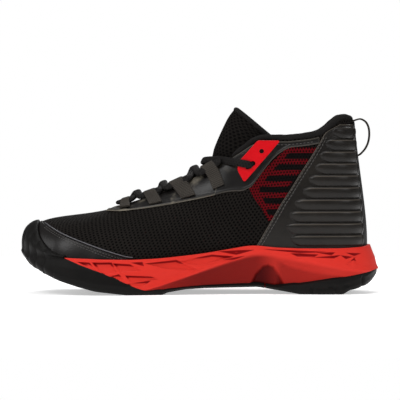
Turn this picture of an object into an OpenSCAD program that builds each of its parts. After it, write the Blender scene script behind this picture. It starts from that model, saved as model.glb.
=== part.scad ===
// Basketball high top, right shoe, laced. The toe points to -X, the heel to +X, the inner
// (medial) side to -Y, and Z is up from the floor. Millimetres.
//
// The upper is one wrapped surface, surf(s, t, d). s runs round the foot: 0 at the heel,
// 10 at the toe, medial side between, lateral side from 10 back to 20. t runs from 0 at the
// board to 1 at the rim of the opening. d is the distance outward from the surface. Each
// layer of the shoe lies between two values of d.

/* [Overall] */
// Length over the outsole
shoe_length = 300; // [270:5:330]

/* [Sole] */
// Rubber thickness
rubber_t = 2.2; // [1.8:0.1:2.6]
// Depth of the tread blocks
tread_h = 1.6; // [1:0.1:1.8]
// Distance between rows of tread
tread_pitch = 9; // [8:0.5:12]
// Sockliner thickness
sockliner_t = 4; // [2.5:0.5:5]

/* [Upper] */
// Thickness of the bootie mesh
mesh_t = 0.9; // [0.6:0.1:1.1]
// Thickness of each overlay skin
skin_t = 0.35; // [0.3:0.05:0.4]
// Height of the padded ribs on the heel panel
rib_h = 1.9; // [0:0.1:2.5]
// Number of ribs on the heel panel
rib_count = 10; // [5:1:10]
// Padding behind the ankle
collar_pad = 5.5; // [3:0.5:6]
// Tongue thickness
tongue_t = 5; // [3:0.5:6]

/* [Laces and loops] */
// Width of the oval lace
lace_w = 6.5; // [5:0.5:7]
// Thickness of the oval lace
lace_t = 2.4; // [1.6:0.2:2.6]
// Width of the webbing eyelet loops
webbing_w = 11; // [8:1:13]
// Width of the pull loop at the heel
pull_loop_w = 10; // [8:1:14]
// Thickness of the moulded eyelet tabs
tab_t = 1.6; // [1.2:0.2:2]

/* [Hidden] */

k = shoe_length / 300;
$fn = 48;
gap = 0.1;

// ---- the last: board line, opening rim and the way the wall leaves each of them ----
// x, y medial, y lateral, z of the board line; x, y, z of the rim;
// rise and bulge at the board; x, y, z of the pull at the rim
STATIONS = [
  [137, 0, 0, 26, 127, 0, 148, 30, 4.5, 2.5, 0, -44],
  [128, -26, 26, 25, 116.5, -19.5, 149, 32, 4.5, 5.5, -4, -46],
  [104, -35, 37, 24, 100, -30, 136.5, 32, 5, 2, -3, -42],
  [76, -34, 39, 23, 75, -34, 132, 30, 6, 1, -1, -40],
  [46, -32, 40, 21, 49, -33, 131, 28, 8, 1, -1, -40],
  [16, -34, 42, 18, 33, -30, 121, 26, 8, -2, -7, -34],
  [-18, -40, 46, 15, 9, -26, 103, 24, 7, -6, -14, -24],
  [-54, -48, 50, 14, -24, -20, 86, 24, 5, -9, -19, -14],
  [-90, -50, 46, 17, -52, -13, 75.5, 26, 2, -14, -22, -8],
  [-122, -43, 36, 25, -69, -7, 70.5, 30, 3, -30, -19, -8],
  [-143, -9, -9, 34, -76, 0, 69, 34, 3, -42, -4, -9]];
RING = [
  for (r = STATIONS) [r[0], r[1], r[3], r[4], r[5], r[6], r[7], r[8], r[9], r[10], r[11]],
  for (i = [9:-1:1]) let(r = STATIONS[i])
    [r[0], r[2], r[3], r[4], -r[5], r[6], r[7], r[8], r[9], -r[10], r[11]]];

function glide(a, b, c, d, f) =
  0.5 * (2 * b + (c - a) * f + (2 * a - 5 * b + 4 * c - d) * f * f + (3 * b - a - 3 * c + d) * f * f * f);
function station(s) = let(i = floor(s))
  glide(RING[(i + 39) % 20], RING[(i + 40) % 20], RING[(i + 41) % 20], RING[(i + 42) % 20], s - i);
function unit(v) = v / norm(v);
function outward(s) = let(a = station(s - 0.01), b = station(s + 0.01), v = unit([b.x - a.x, b.y - a.y]))
  [-v.y, v.x, 0];
function wall(s) = let(r = station(s), p = [r[0], r[1], r[2]], q = [r[3], r[4], r[5]])
  [p, p + outward(s) * r[7] + [0, 0, r[6]], q + [r[8], r[9], r[10]], q];
function along(w, t) = w[0] * (1 - t) ^ 3 + w[1] * 3 * t * (1 - t) ^ 2 + w[2] * 3 * t * t * (1 - t) + w[3] * t ^ 3;
function slope(w, t) =
  3 * ((w[1] - w[0]) * (1 - t) ^ 2 + (w[2] - w[1]) * 2 * t * (1 - t) + (w[3] - w[2]) * t * t);
function surf(s, t, d = 0) = let(
    w = wall(s),
    across = along(wall(s + 0.02), t) - along(wall(s - 0.02), t))
  along(w, t) + unit(cross(slope(w, t), across)) * d;
// height up the wall where it passes level z
function t_at(s, z, t = 0.25, n = 5) = n == 0 ? t : let(
    w = wall(s),
    step = (z - along(w, t).z) / max(8, slope(w, t).z))
  t_at(s, z, min(1, max(0, t + step)), n - 1);
function other(s) = 20 - s;
function ease(a, b, x) = let(f = min(1, max(0, (x - a) / (b - a)))) f * f * (3 - 2 * f);

// ---- sole heights along the shoe ----
BOTTOM = [[-150, 38], [-148, 33], [-144, 28], [-140, 24], [-134, 20], [-125, 16], [-115, 11.7],
  [-102, 7.5], [-87, 3.3], [-82, 2.5], [-67, 0.8], [-60, 0], [-30, 0], [-27, 1.7], [-12, 4.2],
  [3, 5], [48, 5.8], [58, 4.2], [68, 2.5], [78, 0.8], [82, 0], [118, 0], [123, 3.3], [128, 4.2],
  [138, 7.5], [143, 10.8], [148, 15], [150, 20]];
RUBBER_TOP = [[-145, 59], [-142.5, 58], [-140, 54], [-133, 45], [-125, 37.5], [-115, 31.7], [-108, 29],
  [-97, 24], [-82, 18.3], [-67, 11.7], [-52, 5.8], [-45, 4.8], [-27, 5.2], [-12, 7.2], [3, 8],
  [44, 8.6], [60, 6.8], [83, 6.8], [108, 10.8], [125, 13.8], [138, 16.7], [149, 20]];
RIM = [[-143, 38], [-125, 32], [-107, 29.5], [-83, 28.3], [-58, 28.3], [-37, 29.6], [-17, 31.7],
  [0, 33.7], [21, 37], [37, 39.6], [46, 40], [62, 38.3], [83, 37.5], [117, 37.5], [133, 38.3], [142, 41]];
TREAD = [[-138, 0], [-132, 1.8], [-30, 1.8], [-12, 0.1], [60, 0.1], [76, 1.8], [144, 1.8], [149, 0.4]];
FLARE = [[0, 11.3], [1, 10], [2, 8], [3, 6.5], [4, 5.5], [5, 5.5], [6, 6.2], [7, 7], [8, 7.5], [10, 7]];

function side(s) = s > 10 ? 20 - s : abs(s);
function rim_z(s) = lookup(station(s)[0], RIM);
function rim_t(s) = t_at(s, rim_z(s), 0.15);
function rim_at(s, d) = surf(s, rim_t(s), d);
function flare(s, h) = let(
    w = lookup(side(s), FLARE),
    r = (rim_at(s, 4.1) - surf(s, 0)) * outward(s))
  lookup(h, [[0, w - 3.5], [0.05, w - 0.8], [0.2, w], [0.6, w * 0.65 + r * 0.35], [1, r]]);
// point on the side of the sole, h from 0 at the floor to 1 at the rim, set in by some amount
function sole_at(s, h, inset = 0, lift = 0) = let(
    p = surf(s, 0) + outward(s) * (flare(s, h) - inset),
    z = lookup(p.x, BOTTOM) + lookup(p.x, TREAD))
  [p.x, p.y, z + lift + h * (rim_at(s, 4.1).z - z - lift)];
function rubber_h(s) = let(p = surf(s, 0) + outward(s) * lookup(side(s), FLARE), z = lookup(p.x, BOTTOM))
  min(1, max(0.09, (lookup(p.x, RUBBER_TOP) - z) / (rim_at(s, 4.1).z - z)));
function is_toe(s) = rubber_h(s) >= 1;
function near_toe(s) = is_toe(s) || is_toe(s + STEP) || is_toe(s - STEP);
function bumper_t(s) = t_at(s, lookup(station(s)[0] - 1, RUBBER_TOP), 0.2);
function board_at(s, grow, lift) = let(p = surf(s, 0)) p + outward(s) * grow + [0, 0, lift];

STEP = 0.25;
SOLE_S = [for (i = [0:79]) (i + 0.5) * STEP];
// the rubber ends a little short of the foam's step
FORE_S = [for (s = SOLE_S) if (s > 4 && s < 16) max(4.19, min(15.81, s))];
HEEL_S = [for (i = [-14:13]) max(-3.31, min(3.31, (i + 0.5) * STEP))];

// ---- solids from grids and loops of points ----
function quad(a, b, c, d, flip = false) = flip ? [[a, c, b], [a, d, c]] : [[a, b, c], [a, c, d]];

// sheet between an inner (k = 0) and an outer (k = 1) skin, at(u, v, k)
module sheet(at, nu, nv, ring = false) {
  cols = ring ? nu : nu + 1;
  points = [for (k = [0, 1]) for (i = [0:cols - 1]) for (j = [0:nv]) at(i / nu, j / nv, k)];
  id = function(i, j, k) (k * cols + i % cols) * (nv + 1) + j;
  mid = at(0.45, 0.45, 1);
  out = mid - at(0.45, 0.45, 0);
  flip = cross(at(0.5, 0.45, 1) - mid, at(0.45, 0.5, 1) - mid) * out > 0;
  faces = [
    for (i = [0:nu - 1]) for (j = [0:nv - 1])
      each quad(id(i, j, 1), id(i + 1, j, 1), id(i + 1, j + 1, 1), id(i, j + 1, 1), flip),
    for (i = [0:nu - 1]) for (j = [0:nv - 1])
      each quad(id(i, j, 0), id(i, j + 1, 0), id(i + 1, j + 1, 0), id(i + 1, j, 0), flip),
    for (i = [0:nu - 1]) each quad(id(i + 1, 0, 1), id(i, 0, 1), id(i, 0, 0), id(i + 1, 0, 0), flip),
    for (i = [0:nu - 1]) each quad(id(i, nv, 1), id(i + 1, nv, 1), id(i + 1, nv, 0), id(i, nv, 0), flip),
    if (!ring) for (j = [0:nv - 1])
      each quad(id(0, j, 1), id(0, j + 1, 1), id(0, j + 1, 0), id(0, j, 0), flip),
    if (!ring) for (j = [0:nv - 1])
      each quad(id(nu, j + 1, 1), id(nu, j, 1), id(nu, j, 0), id(nu, j + 1, 0), flip)];
  scale([k_all, k_all, k_all]) polyhedron(points, faces, convexity = 8);
}
k_all = k;

// solid skin through a stack of loops, the first and the last closed across the shoe
module stack(loops) {
  n = len(loops[0]);
  last = (len(loops) - 1) * n;
  faces = [
    for (k = [0:len(loops) - 2]) for (i = [0:n - 1]) let(j = (i + 1) % n)
      each quad(k * n + i, k * n + j, (k + 1) * n + j, (k + 1) * n + i),
    for (i = [0:n / 2 - 2]) each quad(i + 1, i, n - 1 - i, n - 2 - i),
    for (i = [0:n / 2 - 2]) each quad(last + i, last + i + 1, last + n - 2 - i, last + n - 1 - i)];
  scale([k_all, k_all, k_all]) polyhedron([for (l = loops) each l], faces, convexity = 8);
}

// tube of oval section through points; flats[i] is the direction across its thin side
module sweep(path, flats, wide, thick, sides = 8, twist = 22.5) {
  n = len(path);
  ring = function(i) let(
      t = unit(path[min(n - 1, i + 1)] - path[max(0, i - 1)]),
      w = unit(cross(t, flats[i])),
      f = cross(w, t))
    [for (j = [0:sides - 1]) let(a = 360 * j / sides + twist)
      path[i] + w * cos(a) * wide / 2 + f * sin(a) * thick / 2];
  faces = [
    [for (j = [0:sides - 1]) j],
    [for (j = [sides - 1:-1:0]) (n - 1) * sides + j],
    for (i = [0:n - 2]) for (j = [0:sides - 1]) let(m = (j + 1) % sides)
      each quad(i * sides + j, (i + 1) * sides + j, (i + 1) * sides + m, i * sides + m)];
  scale([k_all, k_all, k_all]) polyhedron([for (i = [0:n - 1]) each ring(i)], faces, convexity = 8);
}
function smooth_path(points, n) = let(m = len(points))
  [for (i = [0:n * (m - 1)]) let(a = min(m - 2, floor(i / n)), f = i / n - a)
    glide(points[max(0, a - 1)], points[a], points[a + 1], points[min(m - 1, a + 2)], f)];

// ---- sole unit ----
module rubber(list) {
  t = rubber_t;
  // the side thins out to an edge where the rubber ends under the arch
  thin = function(s, a, f = 0.03) s == list[0] || s == list[len(list) - 1] ? a * f : a;
  skin = function(h, inset, lift, f = 1) [for (s = list) sole_at(s, h, thin(s, inset), thin(s, lift, f))];
  level = function(part, inset, lift, f = 1)
    [for (s = list) sole_at(s, rubber_h(s) * part, thin(s, inset), thin(s, lift, f))];
  // rows up the toe bumper, f from 0 at the foam's rim to 1 at the bumper's top
  bump = function(f, d, inset) [for (s = list) let(r = rim_t(s), b = max(bumper_t(s), r + 0.03))
    is_toe(s) ? surf(s, r + (b - r) * f, d) : sole_at(s, rubber_h(s), thin(s, inset), thin(s, inset))];
  edge = function(s) sole_at(s, rubber_h(s), thin(s, t), thin(s, t));
  ledge = [for (s = list) is_toe(s) ? rim_at(s, 1.3) + [0, 0, 0.1] : edge(s)];
  step = [for (s = list) is_toe(s) ? sole_at(s, 1, t, t) + [0, 0, 0.1] : edge(s)];
  stack([skin(0, 0, 0), skin(0.03, 0, 0), level(0.6, 0, 0), level(1, 0, 0), bump(0.35, 4.6, 0), bump(0.7, 4.1, 0),
    bump(1, 2.9, 0), bump(1, 1.5, t), bump(0.7, 1.5, t), bump(0.35, 1.5, t), ledge, step,
    level(0.6, t, t, 0.35), skin(0.03, t, t, 0.6), skin(0, t, t)]);
}
module outsole_forefoot() { color("#262524") rubber(FORE_S); }
module outsole_heel() { color("#262524") rubber(HEEL_S); }

// zigzag bar of rubber across the sole, its underside on the bottom curve
function edge_list(a, b) = [for (s = [a:sign(b - a) * 0.25:b]) let(p = sole_at(s, 0, 1.5)) [p.x, p.y]];
MEDIAL_EDGE = edge_list(9.75, 0.25);
LATERAL_EDGE = edge_list(10.25, 19.75);
module tread_row(x, width, h) {
  lo = lookup(x, MEDIAL_EDGE) + abs(lookup(x + 4, MEDIAL_EDGE) - lookup(x - 4, MEDIAL_EDGE)) / 2;
  hi = lookup(x, LATERAL_EDGE) - abs(lookup(x + 4, LATERAL_EDGE) - lookup(x - 4, LATERAL_EDGE)) / 2;
  n = max(2, round((hi - lo) / 9));
  zig = [for (i = [0:n]) [(i % 2 == 0 ? -1.4 : 1.4), lo + (hi - lo) * i / n]];
  rise = atan2(lookup(x + 3, BOTTOM) - lookup(x - 3, BOTTOM), 6);
  translate([x, 0, lookup(x, BOTTOM)]) rotate([0, -rise, 0]) linear_extrude(h)
    polygon([for (p = zig) p - [width / 2, 0], for (i = [n:-1:0]) zig[i] + [width / 2, 0]]);
}
module forefoot_tread() {
  color("#1c1b1b") scale([k, k, k])
    for (i = [0:floor(90 / tread_pitch)])
      tread_row(-35 - i * tread_pitch, tread_pitch * 0.62, tread_h);
}
module heel_tread() {
  color("#1c1b1b") scale([k, k, k])
    for (x = [86:tread_pitch:114])
      tread_row(x, tread_pitch * 0.62, tread_h);
  color("#1c1b1b") scale([k, k, k])
    for (x = [77, 127.5, 135])
      tread_row(x, 5, tread_h - 0.4);
}
module midsole() {
  // how far the foam stands back where rubber wraps it: below the rubber's edge, and above
  below = function(s) abs(side(s) - 3.75) < 0.3 ? 0 : rubber_t + gap * 2.5;
  above = function(s) near_toe(s) ? rubber_t + gap * 2.5 : 0;
  lift = function(s) below(s) * (abs(side(s) - 3.75) < 0.7 ? 1.7 : 1.15);
  low = function(h) [for (s = SOLE_S) sole_at(s, rubber_h(s) * h, below(s), lift(s))];
  color("#da4b3d") stack([
    low(0), [for (s = SOLE_S) sole_at(s, 0.03, below(s), lift(s))],
    low(0.6), low(1),
    [for (s = SOLE_S) sole_at(s, min(1, rubber_h(s) + 0.01), above(s))],
    [for (s = SOLE_S) sole_at(s, min(1, rubber_h(s) * 0.5 + 0.5), above(s))],
    [for (s = SOLE_S) near_toe(s) ? sole_at(s, 1, above(s)) : rim_at(s, 4.1)],
    [for (s = SOLE_S) rim_at(s, 1.3)],
    [for (s = SOLE_S) surf(s, rim_t(s) * 0.5, 1.3)],
    [for (s = SOLE_S) board_at(s, 1, -3.2)]]);
}
module shank_plate() {
  x = function(u) -20 + 110 * u;
  z = function(u) station(6.06 - 3.56 * u + 0.4 * u * (1 - u))[2];
  color("#3a3a3a") sheet(function(u, v, k)
    [x(u), (v - 0.5) * (34 - 8 * u) + 3, z(u) - 3 + k], 12, 1);
}
module strobel_board() {
  color("#b9b2a0") stack([[for (s = SOLE_S) board_at(s, -0.6, -1.7)], [for (s = SOLE_S) board_at(s, -0.6, -0.4)]]);
}
module sockliner() {
  color("#2b2b2c") stack([
    [for (s = SOLE_S) board_at(s, -4.4, 0.1)],
    [for (s = SOLE_S) board_at(s, -3.9, sockliner_t * 0.6)],
    [for (s = SOLE_S) board_at(s, -4.6, sockliner_t)]]);
}

// ---- upper ----
// panel between d0 and d1 over s from s0 to s1 and t from t0(s) to t1(s)
module panel(s0, s1, t0, t1, d0, d1, nu, nv) {
  sheet(function(u, v, k) let(s = s0 + (s1 - s0) * u)
    surf(s, t0(s) + (t1(s) - t0(s)) * v, k == 0 ? d0 : d1), nu, nv);
}
// the cloth stops lower where the padded roll finishes the collar
function top_t(s) = 1 - 0.055 * (1 - ease(5.4, 6.2, side(s)));
module upper_mesh() {
  color("#171615") sheet(function(u, v, k) let(s = 20 * u + STEP / 2)
    surf(s, v * top_t(s % 20), k == 0 ? -mesh_t : 0), 80, 11, true);
}
D1 = gap + 0.15;
D2 = D1 + skin_t;
D3 = D2 + gap;
D4 = D3 + skin_t;

MUDGUARD_TOP = [[7.2, 0.2], [7.6, 0.24], [8.1, 0.285], [8.8, 0.34], [9.2, 0.375], [9.6, 0.41], [10, 0.44]];
module toe_mudguard() {
  color("#1a1818") panel(7.2, 12.8, function(s) 0.03, function(s) lookup(side(s), MUDGUARD_TOP),
    D1, D2, 32, 5);
}
module piping(mirrored) {
  list = [for (i = [0:18]) 9.7 - i * 2.45 / 18];
  at = function(s, d) surf(mirrored ? other(s) : s, lookup(s, MUDGUARD_TOP) + 0.014, d);
  color("#8f8b85") sweep([for (s = list) at(s, 0.7)], [for (s = list) at(s, 2) - at(s, 1)], 1.3, 1, 6, 0);
}
module piping_medial() { piping(false); }
module piping_lateral() { piping(true); }
module toe_puff() {
  color("#c8c2b4") panel(8.5, 11.5, function(s) 0.03, function(s) 0.46, -mesh_t - 1.25, -mesh_t - 0.65, 21, 5);
}
module heel_counter() {
  color("#c8c2b4") panel(-2.9, 2.9, function(s) 0.03, function(s) 0.47, -mesh_t - 1.2, -mesh_t - 0.35, 22, 5);
}
EYESTAY_LOW = [[2.05, 0.905], [3.1, 0.905], [3.48, 0.85], [3.9, 0.74], [4.25, 0.655], [4.65, 0.64], [5.3, 0.68],
  [6.05, 0.71], [7, 0.75], [8.1, 0.78], [8.8, 0.86]];
module eyestay(mirrored) {
  color("#3b3836") panel(mirrored ? 17.9 : 2.1, mirrored ? 11.2 : 8.8,
    function(s) lookup(side(s), EYESTAY_LOW), function(s) top_t(s) - 0.012, D3, D4, 26, 3);
}
module eyestay_medial() { eyestay(false); }
module eyestay_lateral() { eyestay(true); }

// front edge and right edge of the heel panel, front edge of the ankle mesh, by height
HEEL_FRONT = [[35, 4.1], [42, 3.95], [60, 3.6], [74, 3.33], [87, 3.03], [101, 2.7], [117, 2.3], [131, 1.93], [134, 1.78],
  [137, 1.45], [140, 1.1]];
HEEL_BACK = [[35, 1.04], [55, 1.03], [75, 0.93], [95, 0.77], [113, 0.58], [132, 0.34],
  [140, 0.27]];
ANKLE_FRONT = [[60, 3.66], [70, 3.88], [74, 4], [87, 4.4], [95, 4.15], [103, 3.8], [121, 3.12]];
module level_panel(mirrored, z0, z1, front, back, rise, d0, nu, nv) {
  sheet(function(u, v, k) let(
      z = z0 + (z1 - z0) * v,
      s = lookup(z, front) * (1 - u) + lookup(z, back) * u)
    surf(mirrored ? other(s) : s, t_at(side(s), z, 0.5), k == 0 ? d0 : d0 + skin_t + rise(u, z)), nu, nv);
}
function shift(list, d) = [for (p = list) [p[0], p[1] + d]];
module ankle_mesh(mirrored) {
  color("#4a1016") level_panel(mirrored, 60, 121, ANKLE_FRONT, shift(HEEL_FRONT, -0.06),
    function(u, z) 0, D1, 6, 8);
}
module ankle_mesh_medial() { ankle_mesh(false); }
module ankle_mesh_lateral() { ankle_mesh(true); }
RIB_Z0 = 44.3;
RIB_PITCH = 9.8;
function rib(u, z) = let(
    n = (z - RIB_Z0) / RIB_PITCH,
    inside = n > -0.5 && n < rib_count - 0.5 ? 1 : 0)
  rib_h * inside * max(0, cos(360 * n) * 0.5 + 0.5) ^ 0.6 * ease(0.12, 0.22, u) * (1 - ease(0.93, 1, u));
module heel_panel(mirrored) {
  color("#2c2825") level_panel(mirrored, 35.5, 139.5, HEEL_FRONT, HEEL_BACK,
    function(u, z) rib(u, z), D3, 9, 50);
}
module heel_panel_medial() { heel_panel(false); }
module heel_panel_lateral() { heel_panel(true); }
module back_stay() {
  color("#232120") sheet(function(u, v, k) let(
      z = 35.5 + 104 * v,
      s = (lookup(z, HEEL_BACK) - 0.03) * (2 * u - 1))
    surf(s, t_at(abs(s), z, 0.5), k == 0 ? D3 : D4), 8, 12);
}
function pad(s, t) = collar_pad * ease(0.5, 0.72, t) * (1 - ease(4.6, 5.6, side(s))) * (1 - 0.35 * ease(0.8, 1, t));
module collar_foam() {
  color("#55565a") sheet(function(u, v, k) let(s = -5 + 10 * u, t = 0.52 + 0.39 * v)
    surf(s, t, k == 1 ? -mesh_t - 0.3 : -mesh_t - 0.6 - 0.8 * pad(s, t)), 32, 5);
}
module lining() {
  color("#222224") sheet(function(u, v, k) let(s = 20 * u + STEP / 2, t = 0.03 + 0.9 * v)
    surf(s, t, -mesh_t - 1.4 - pad(s, t) - (k == 0 ? 0.8 : 0)), 64, 6, true);
}
module collar_roll() {
  list = [for (i = [0:38]) -5.3 + 10.6 * i / 38];
  c = function(s) surf(s, 0.974, -2.7);
  color("#1e1d1d") sweep([for (s = list) c(s)], [for (s = list) surf(s, 1) - surf(s, 0.9)], 5.8, 5.8);
}

// ---- tongue: x, z of its front line, half width, depth of its curve to the back ----
TONGUE = [
  [-75, 63, 10, 2], [-64, 67.5, 15, 3], [-48, 75, 19, 5], [-28, 84.5, 23, 9], [-6, 95.5, 24, 14],
  [8, 106.5, 23, 19], [12.5, 120, 22, 25], [18.5, 134.5, 21, 31], [24, 145.5, 20, 34], [29.5, 153.5, 19, 35]];
function tongue_row(v) = let(a = v * 9, i = min(8, floor(a)))
  glide(TONGUE[max(0, i - 1)], TONGUE[i], TONGUE[i + 1], TONGUE[min(9, i + 2)], a - i);
function tongue_at(c, v, d = 0) = let(
    r = tongue_row(v),
    a = tongue_row(max(0, v - 0.01)),
    b = tongue_row(min(1, v + 0.01)),
    up = unit([b[0] - a[0], 0, b[1] - a[1]]),
    back = [up.z, 0, -up.x],
    bend = c * 80)
  [r[0], 0, r[1]] + back * (r[3] * (1 - cos(bend)) / (1 - cos(80)) + d * cos(bend * 0.9))
    + [0, 1, 0] * (r[2] * sin(bend) / sin(80) - d * sin(bend * 0.9));
TONGUE_SPLIT = 0.6;
function tongue_full(v) = tongue_t * (0.7 + 0.3 * ease(0.3, 0.7, v));
module tongue_part(v0, v1, nv) {
  sheet(function(u, v, k) let(c = 2 * u - 1, w = v0(c) + (v1(c) - v0(c)) * v)
    tongue_at(c, w, k == 1 ? 0 : tongue_full(w) * (1 - 0.6 * abs(c) ^ 3)), 12, nv);
}
module tongue_lower() {
  color("#1b1918") tongue_part(function(c) 0, function(c) TONGUE_SPLIT - 0.012 - 0.1 * c * c, 11);
}
module tongue_upper() {
  color("#1b1918") tongue_part(function(c) TONGUE_SPLIT + 0.012, function(c) 0.94 - 0.08 * c * c, 8);
}
module tongue_binding() {
  list = [for (i = [0:24]) -1 + 2 * i / 24];
  mid = function(c) tongue_at(c, 0.99 - 0.08 * c * c, tongue_t * 0.5 * (1 - 0.6 * abs(c) ^ 3));
  low = function(c) tongue_at(c, 0.9 - 0.08 * c * c, tongue_t * 0.5 * (1 - 0.6 * abs(c) ^ 3));
  color("#262423") sweep([for (c = list) mid(c)], [for (c = list) mid(c) - low(c)], 4.6, 3, 8);
}

// ---- eyelet tabs, loops and lace ----
TAB = [[47.5, 126], [65.5, 126], [36.5, 92.5], [31, 102.5], [32.5, 109]];
module eyelet_tab(mirrored, y0, lean) {
  color("#c80c19") scale([k, k, k]) mirror([0, mirrored ? 1 : 0, 0])
    translate([0, -y0, 92]) rotate([90 - lean, 0, 0]) difference() {
      linear_extrude(tab_t) polygon([for (p = TAB) p - [0, 92]]);
      translate([50.7, 25.6, -1]) cylinder(h = tab_t + 2, d = 4);
      translate([39.2, 12.8, -1]) cylinder(h = tab_t + 2, d = 4.2);
      translate([43.6, 15.6, -1]) cylinder(h = tab_t + 2, d = 4.2);
      translate([41.4, 14.2, -1]) rotate([0, 0, 32.5]) translate([-2.6, -2.1, 0]) cube([5.2, 4.2, tab_t + 2]);
    }
}
module eyelet_tab_medial() { eyelet_tab(false, 36.9, -2.5); }
module eyelet_tab_lateral() { eyelet_tab(true, 38.2, -5); }

// base s, base t, rim s of each webbing loop
LOOPS = [[8.05, 0.83, 8.4], [7.15, 0.79, 7.55], [6.35, 0.76, 6.8], [5.55, 0.75, 6]];
// path of the folded webbing: fraction of the way to the rim, height above the eyestay
FOLD = [[0, 2.1], [0.35, 2.1], [0.7, 2.1], [0.95, 2.15], [1.1, 2.6], [1.17, 3.7], [1.12, 5], [0.98, 5.9],
  [0.8, 5.7], [0.6, 4.3], [0.4, 3.2], [0.2, 3.05], [0, 3.05]];
function on_loop(l, f, h, across, mirrored = false) = let(s = l[0] + (l[2] - l[0]) * f + across / 33)
  surf(mirrored ? other(s) : s, l[1] + (1 - l[1]) * f, h);
module lace_loops(mirrored) {
  color("#3f3b38") for (l = LOOPS)
    sheet(function(u, v, k) let(
        i = round(v * 12),
        a = FOLD[max(0, i - 1)],
        b = FOLD[min(12, i + 1)],
        n = unit([-(b.y - a.y), (b.x - a.x) * 20]) * (k - 0.5) * 1.1)
      on_loop(l, FOLD[i].x + n.x / 20, FOLD[i].y + n.y, (u - 0.5) * webbing_w, mirrored), 1, 12);
}
module lace_loops_medial() { lace_loops(false); }
module lace_loops_lateral() { lace_loops(true); }

// where the lace enters (toe side), sits in and leaves (heel side) loop n
function eye(n, across) = on_loop(LOOPS[n], 0.93, 3.9, across);
function hop(n, m, lift) = let(a = eye(n, -9), b = eye(m, 9))
  [(a.x + b.x) / 2, 0, max(a.z, b.z) + lift];
function flip_y(p) = [p.x, -p.y, p.z];
SLOT = [42, -38.6, 106];
// one half of the lace from the lowest loop to the eyelet tab, over (1) or under (0) at each crossing
function half_lace(o) = [
  eye(0, 8), eye(0, 0), eye(0, -8), hop(0, 1, 0.6 + 2.8 * o), flip_y(eye(1, 9)), flip_y(eye(1, 0)),
  flip_y(eye(1, -9)), hop(1, 2, 0.8 + 2.8 * (1 - o)), eye(2, 9), eye(2, 0), eye(2, -9),
  hop(2, 3, 1.4 + 2.8 * o), flip_y(eye(3, 9)), flip_y(eye(3, 0)), flip_y(eye(3, -9)),
  [11, 18, 107.5 - o], [5.6 - 2.8 * (1 - o), 0, 108.3 + 1.1 * (1 - o)], [12, -20, 110.3], [24, -33.6, 109.3],
  [33, -39.2, 107.8], [38.5, -40.3, 106.8], SLOT, [43, -32.5, 105.8], [43, -25.2, 105.5]];
function reversed(a) = [for (i = [len(a) - 1:-1:0]) a[i]];
LACE_ROUTE = [each reversed(half_lace(0)), [-67, 0, 75.2], for (p = half_lace(1)) flip_y(p)];
module lace() {
  path = smooth_path(LACE_ROUTE, 2);
  flats = [for (p = path) let(f = ease(-6, 6, p.x)) unit([-0.35 - f, p.y / 22, 1 - 0.5 * f])];
  color("#161515") sweep(path, flats,
    lace_w, lace_t);
}

// loose ends tucked into the shoe: in through the wall behind the tab, down, and along the sockliner
TAIL_MEDIAL = [[43, -25, 105.5], [43.3, -20, 104.6], [43.8, -15, 101], [44.2, -12.3, 95], [44.5, -11.5, 87],
  [44.8, -11.5, 72], [45, -11.5, 58], [45.3, -11.5, 46], [46.7, -11.5, 38], [50, -11.6, 31.8], [56, -12, 28.3],
  [64, -13, 28.1], [76, -14.5, 28.8], [88, -14, 29.2], [99, -10, 29.5], [106.5, -2, 29.8], [105.5, 8, 29.8],
  [98, 15, 29.6], [86, 18, 29.3], [74, 17.5, 28.8]];
TAIL_LATERAL = [[43, 25, 105.5], [42.7, 20, 104.6], [42.3, 15, 101], [42, 12.3, 95], [41.8, 11.5, 87],
  [41.6, 11.5, 72], [41.4, 11.5, 58], [41, 11.5, 44], [39.5, 11.5, 36], [36, 11.4, 29.8], [30, 11, 25.8],
  [22, 10, 24.5], [8, 8, 23.1], [-8, 6, 21.7], [-24, 5, 20.7], [-40, 6, 20.2], [-54, 9, 20], [-65, 13, 20.6]];
AGLET_MEDIAL = [[74, 17.5, 29.2], [54.5, 14, 28.2]];
AGLET_LATERAL = [[-65, 13, 21.2], [-82, 22, 23.2]];
module lace_tail(route, first) {
  path = smooth_path(route, 2);
  n = len(path);
  color("#161515") sweep(path, [for (i = [0:n - 1]) let(f = ease(0.25, 0.5, i / n)) unit([0, first * (1 - f), f + 0.02])],
    lace_w, lace_t);
}
module lace_tail_medial() { lace_tail(TAIL_MEDIAL, 1); }
module lace_tail_lateral() { lace_tail(TAIL_LATERAL, -1); }
module aglet(ends) {
  v = ends[1] - ends[0];
  color("#202020") scale([k, k, k]) translate(ends[0] + unit(v) * 0.2)
    rotate([0, acos(v.z / norm(v)), atan2(v.y, v.x)]) cylinder(h = norm(v), d = 3.4);
}
module aglet_medial() { aglet(AGLET_MEDIAL); }
module aglet_lateral() { aglet(AGLET_LATERAL); }

// ---- pull loop ----
PULL = [[133.8, 144.2], [136.4, 143.2], [138.9, 141], [140.8, 136.5], [141.2, 130.5], [140.2, 124.5], [137.9, 119.6],
  [135.6, 116.8], [133.8, 115]];
module pull_loop() {
  color("#3a3634") scale([k, k, k]) translate([0, pull_loop_w / 2, 0]) rotate([90, 0, 0])
    linear_extrude(pull_loop_w) polygon([
      for (i = [0:8]) PULL[i] + lean(i) * 0.7,
      for (i = [8:-1:0]) PULL[i] - lean(i) * 0.7]);
}
function lean(i) = let(v = unit(PULL[min(8, i + 1)] - PULL[max(0, i - 1)])) [-v.y, v.x];
module pull_loop_anchors() {
  color("#3a3634") scale([k, k, k]) for (z = [143.6, 113.4])
    translate([z > 130 ? 129 : 131.8, -pull_loop_w / 2, z]) rotate([0, z > 130 ? -8 : 8, 0])
      translate([0, 0, -0.7]) cube([1.5, pull_loop_w, 1.4]);
}

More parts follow.
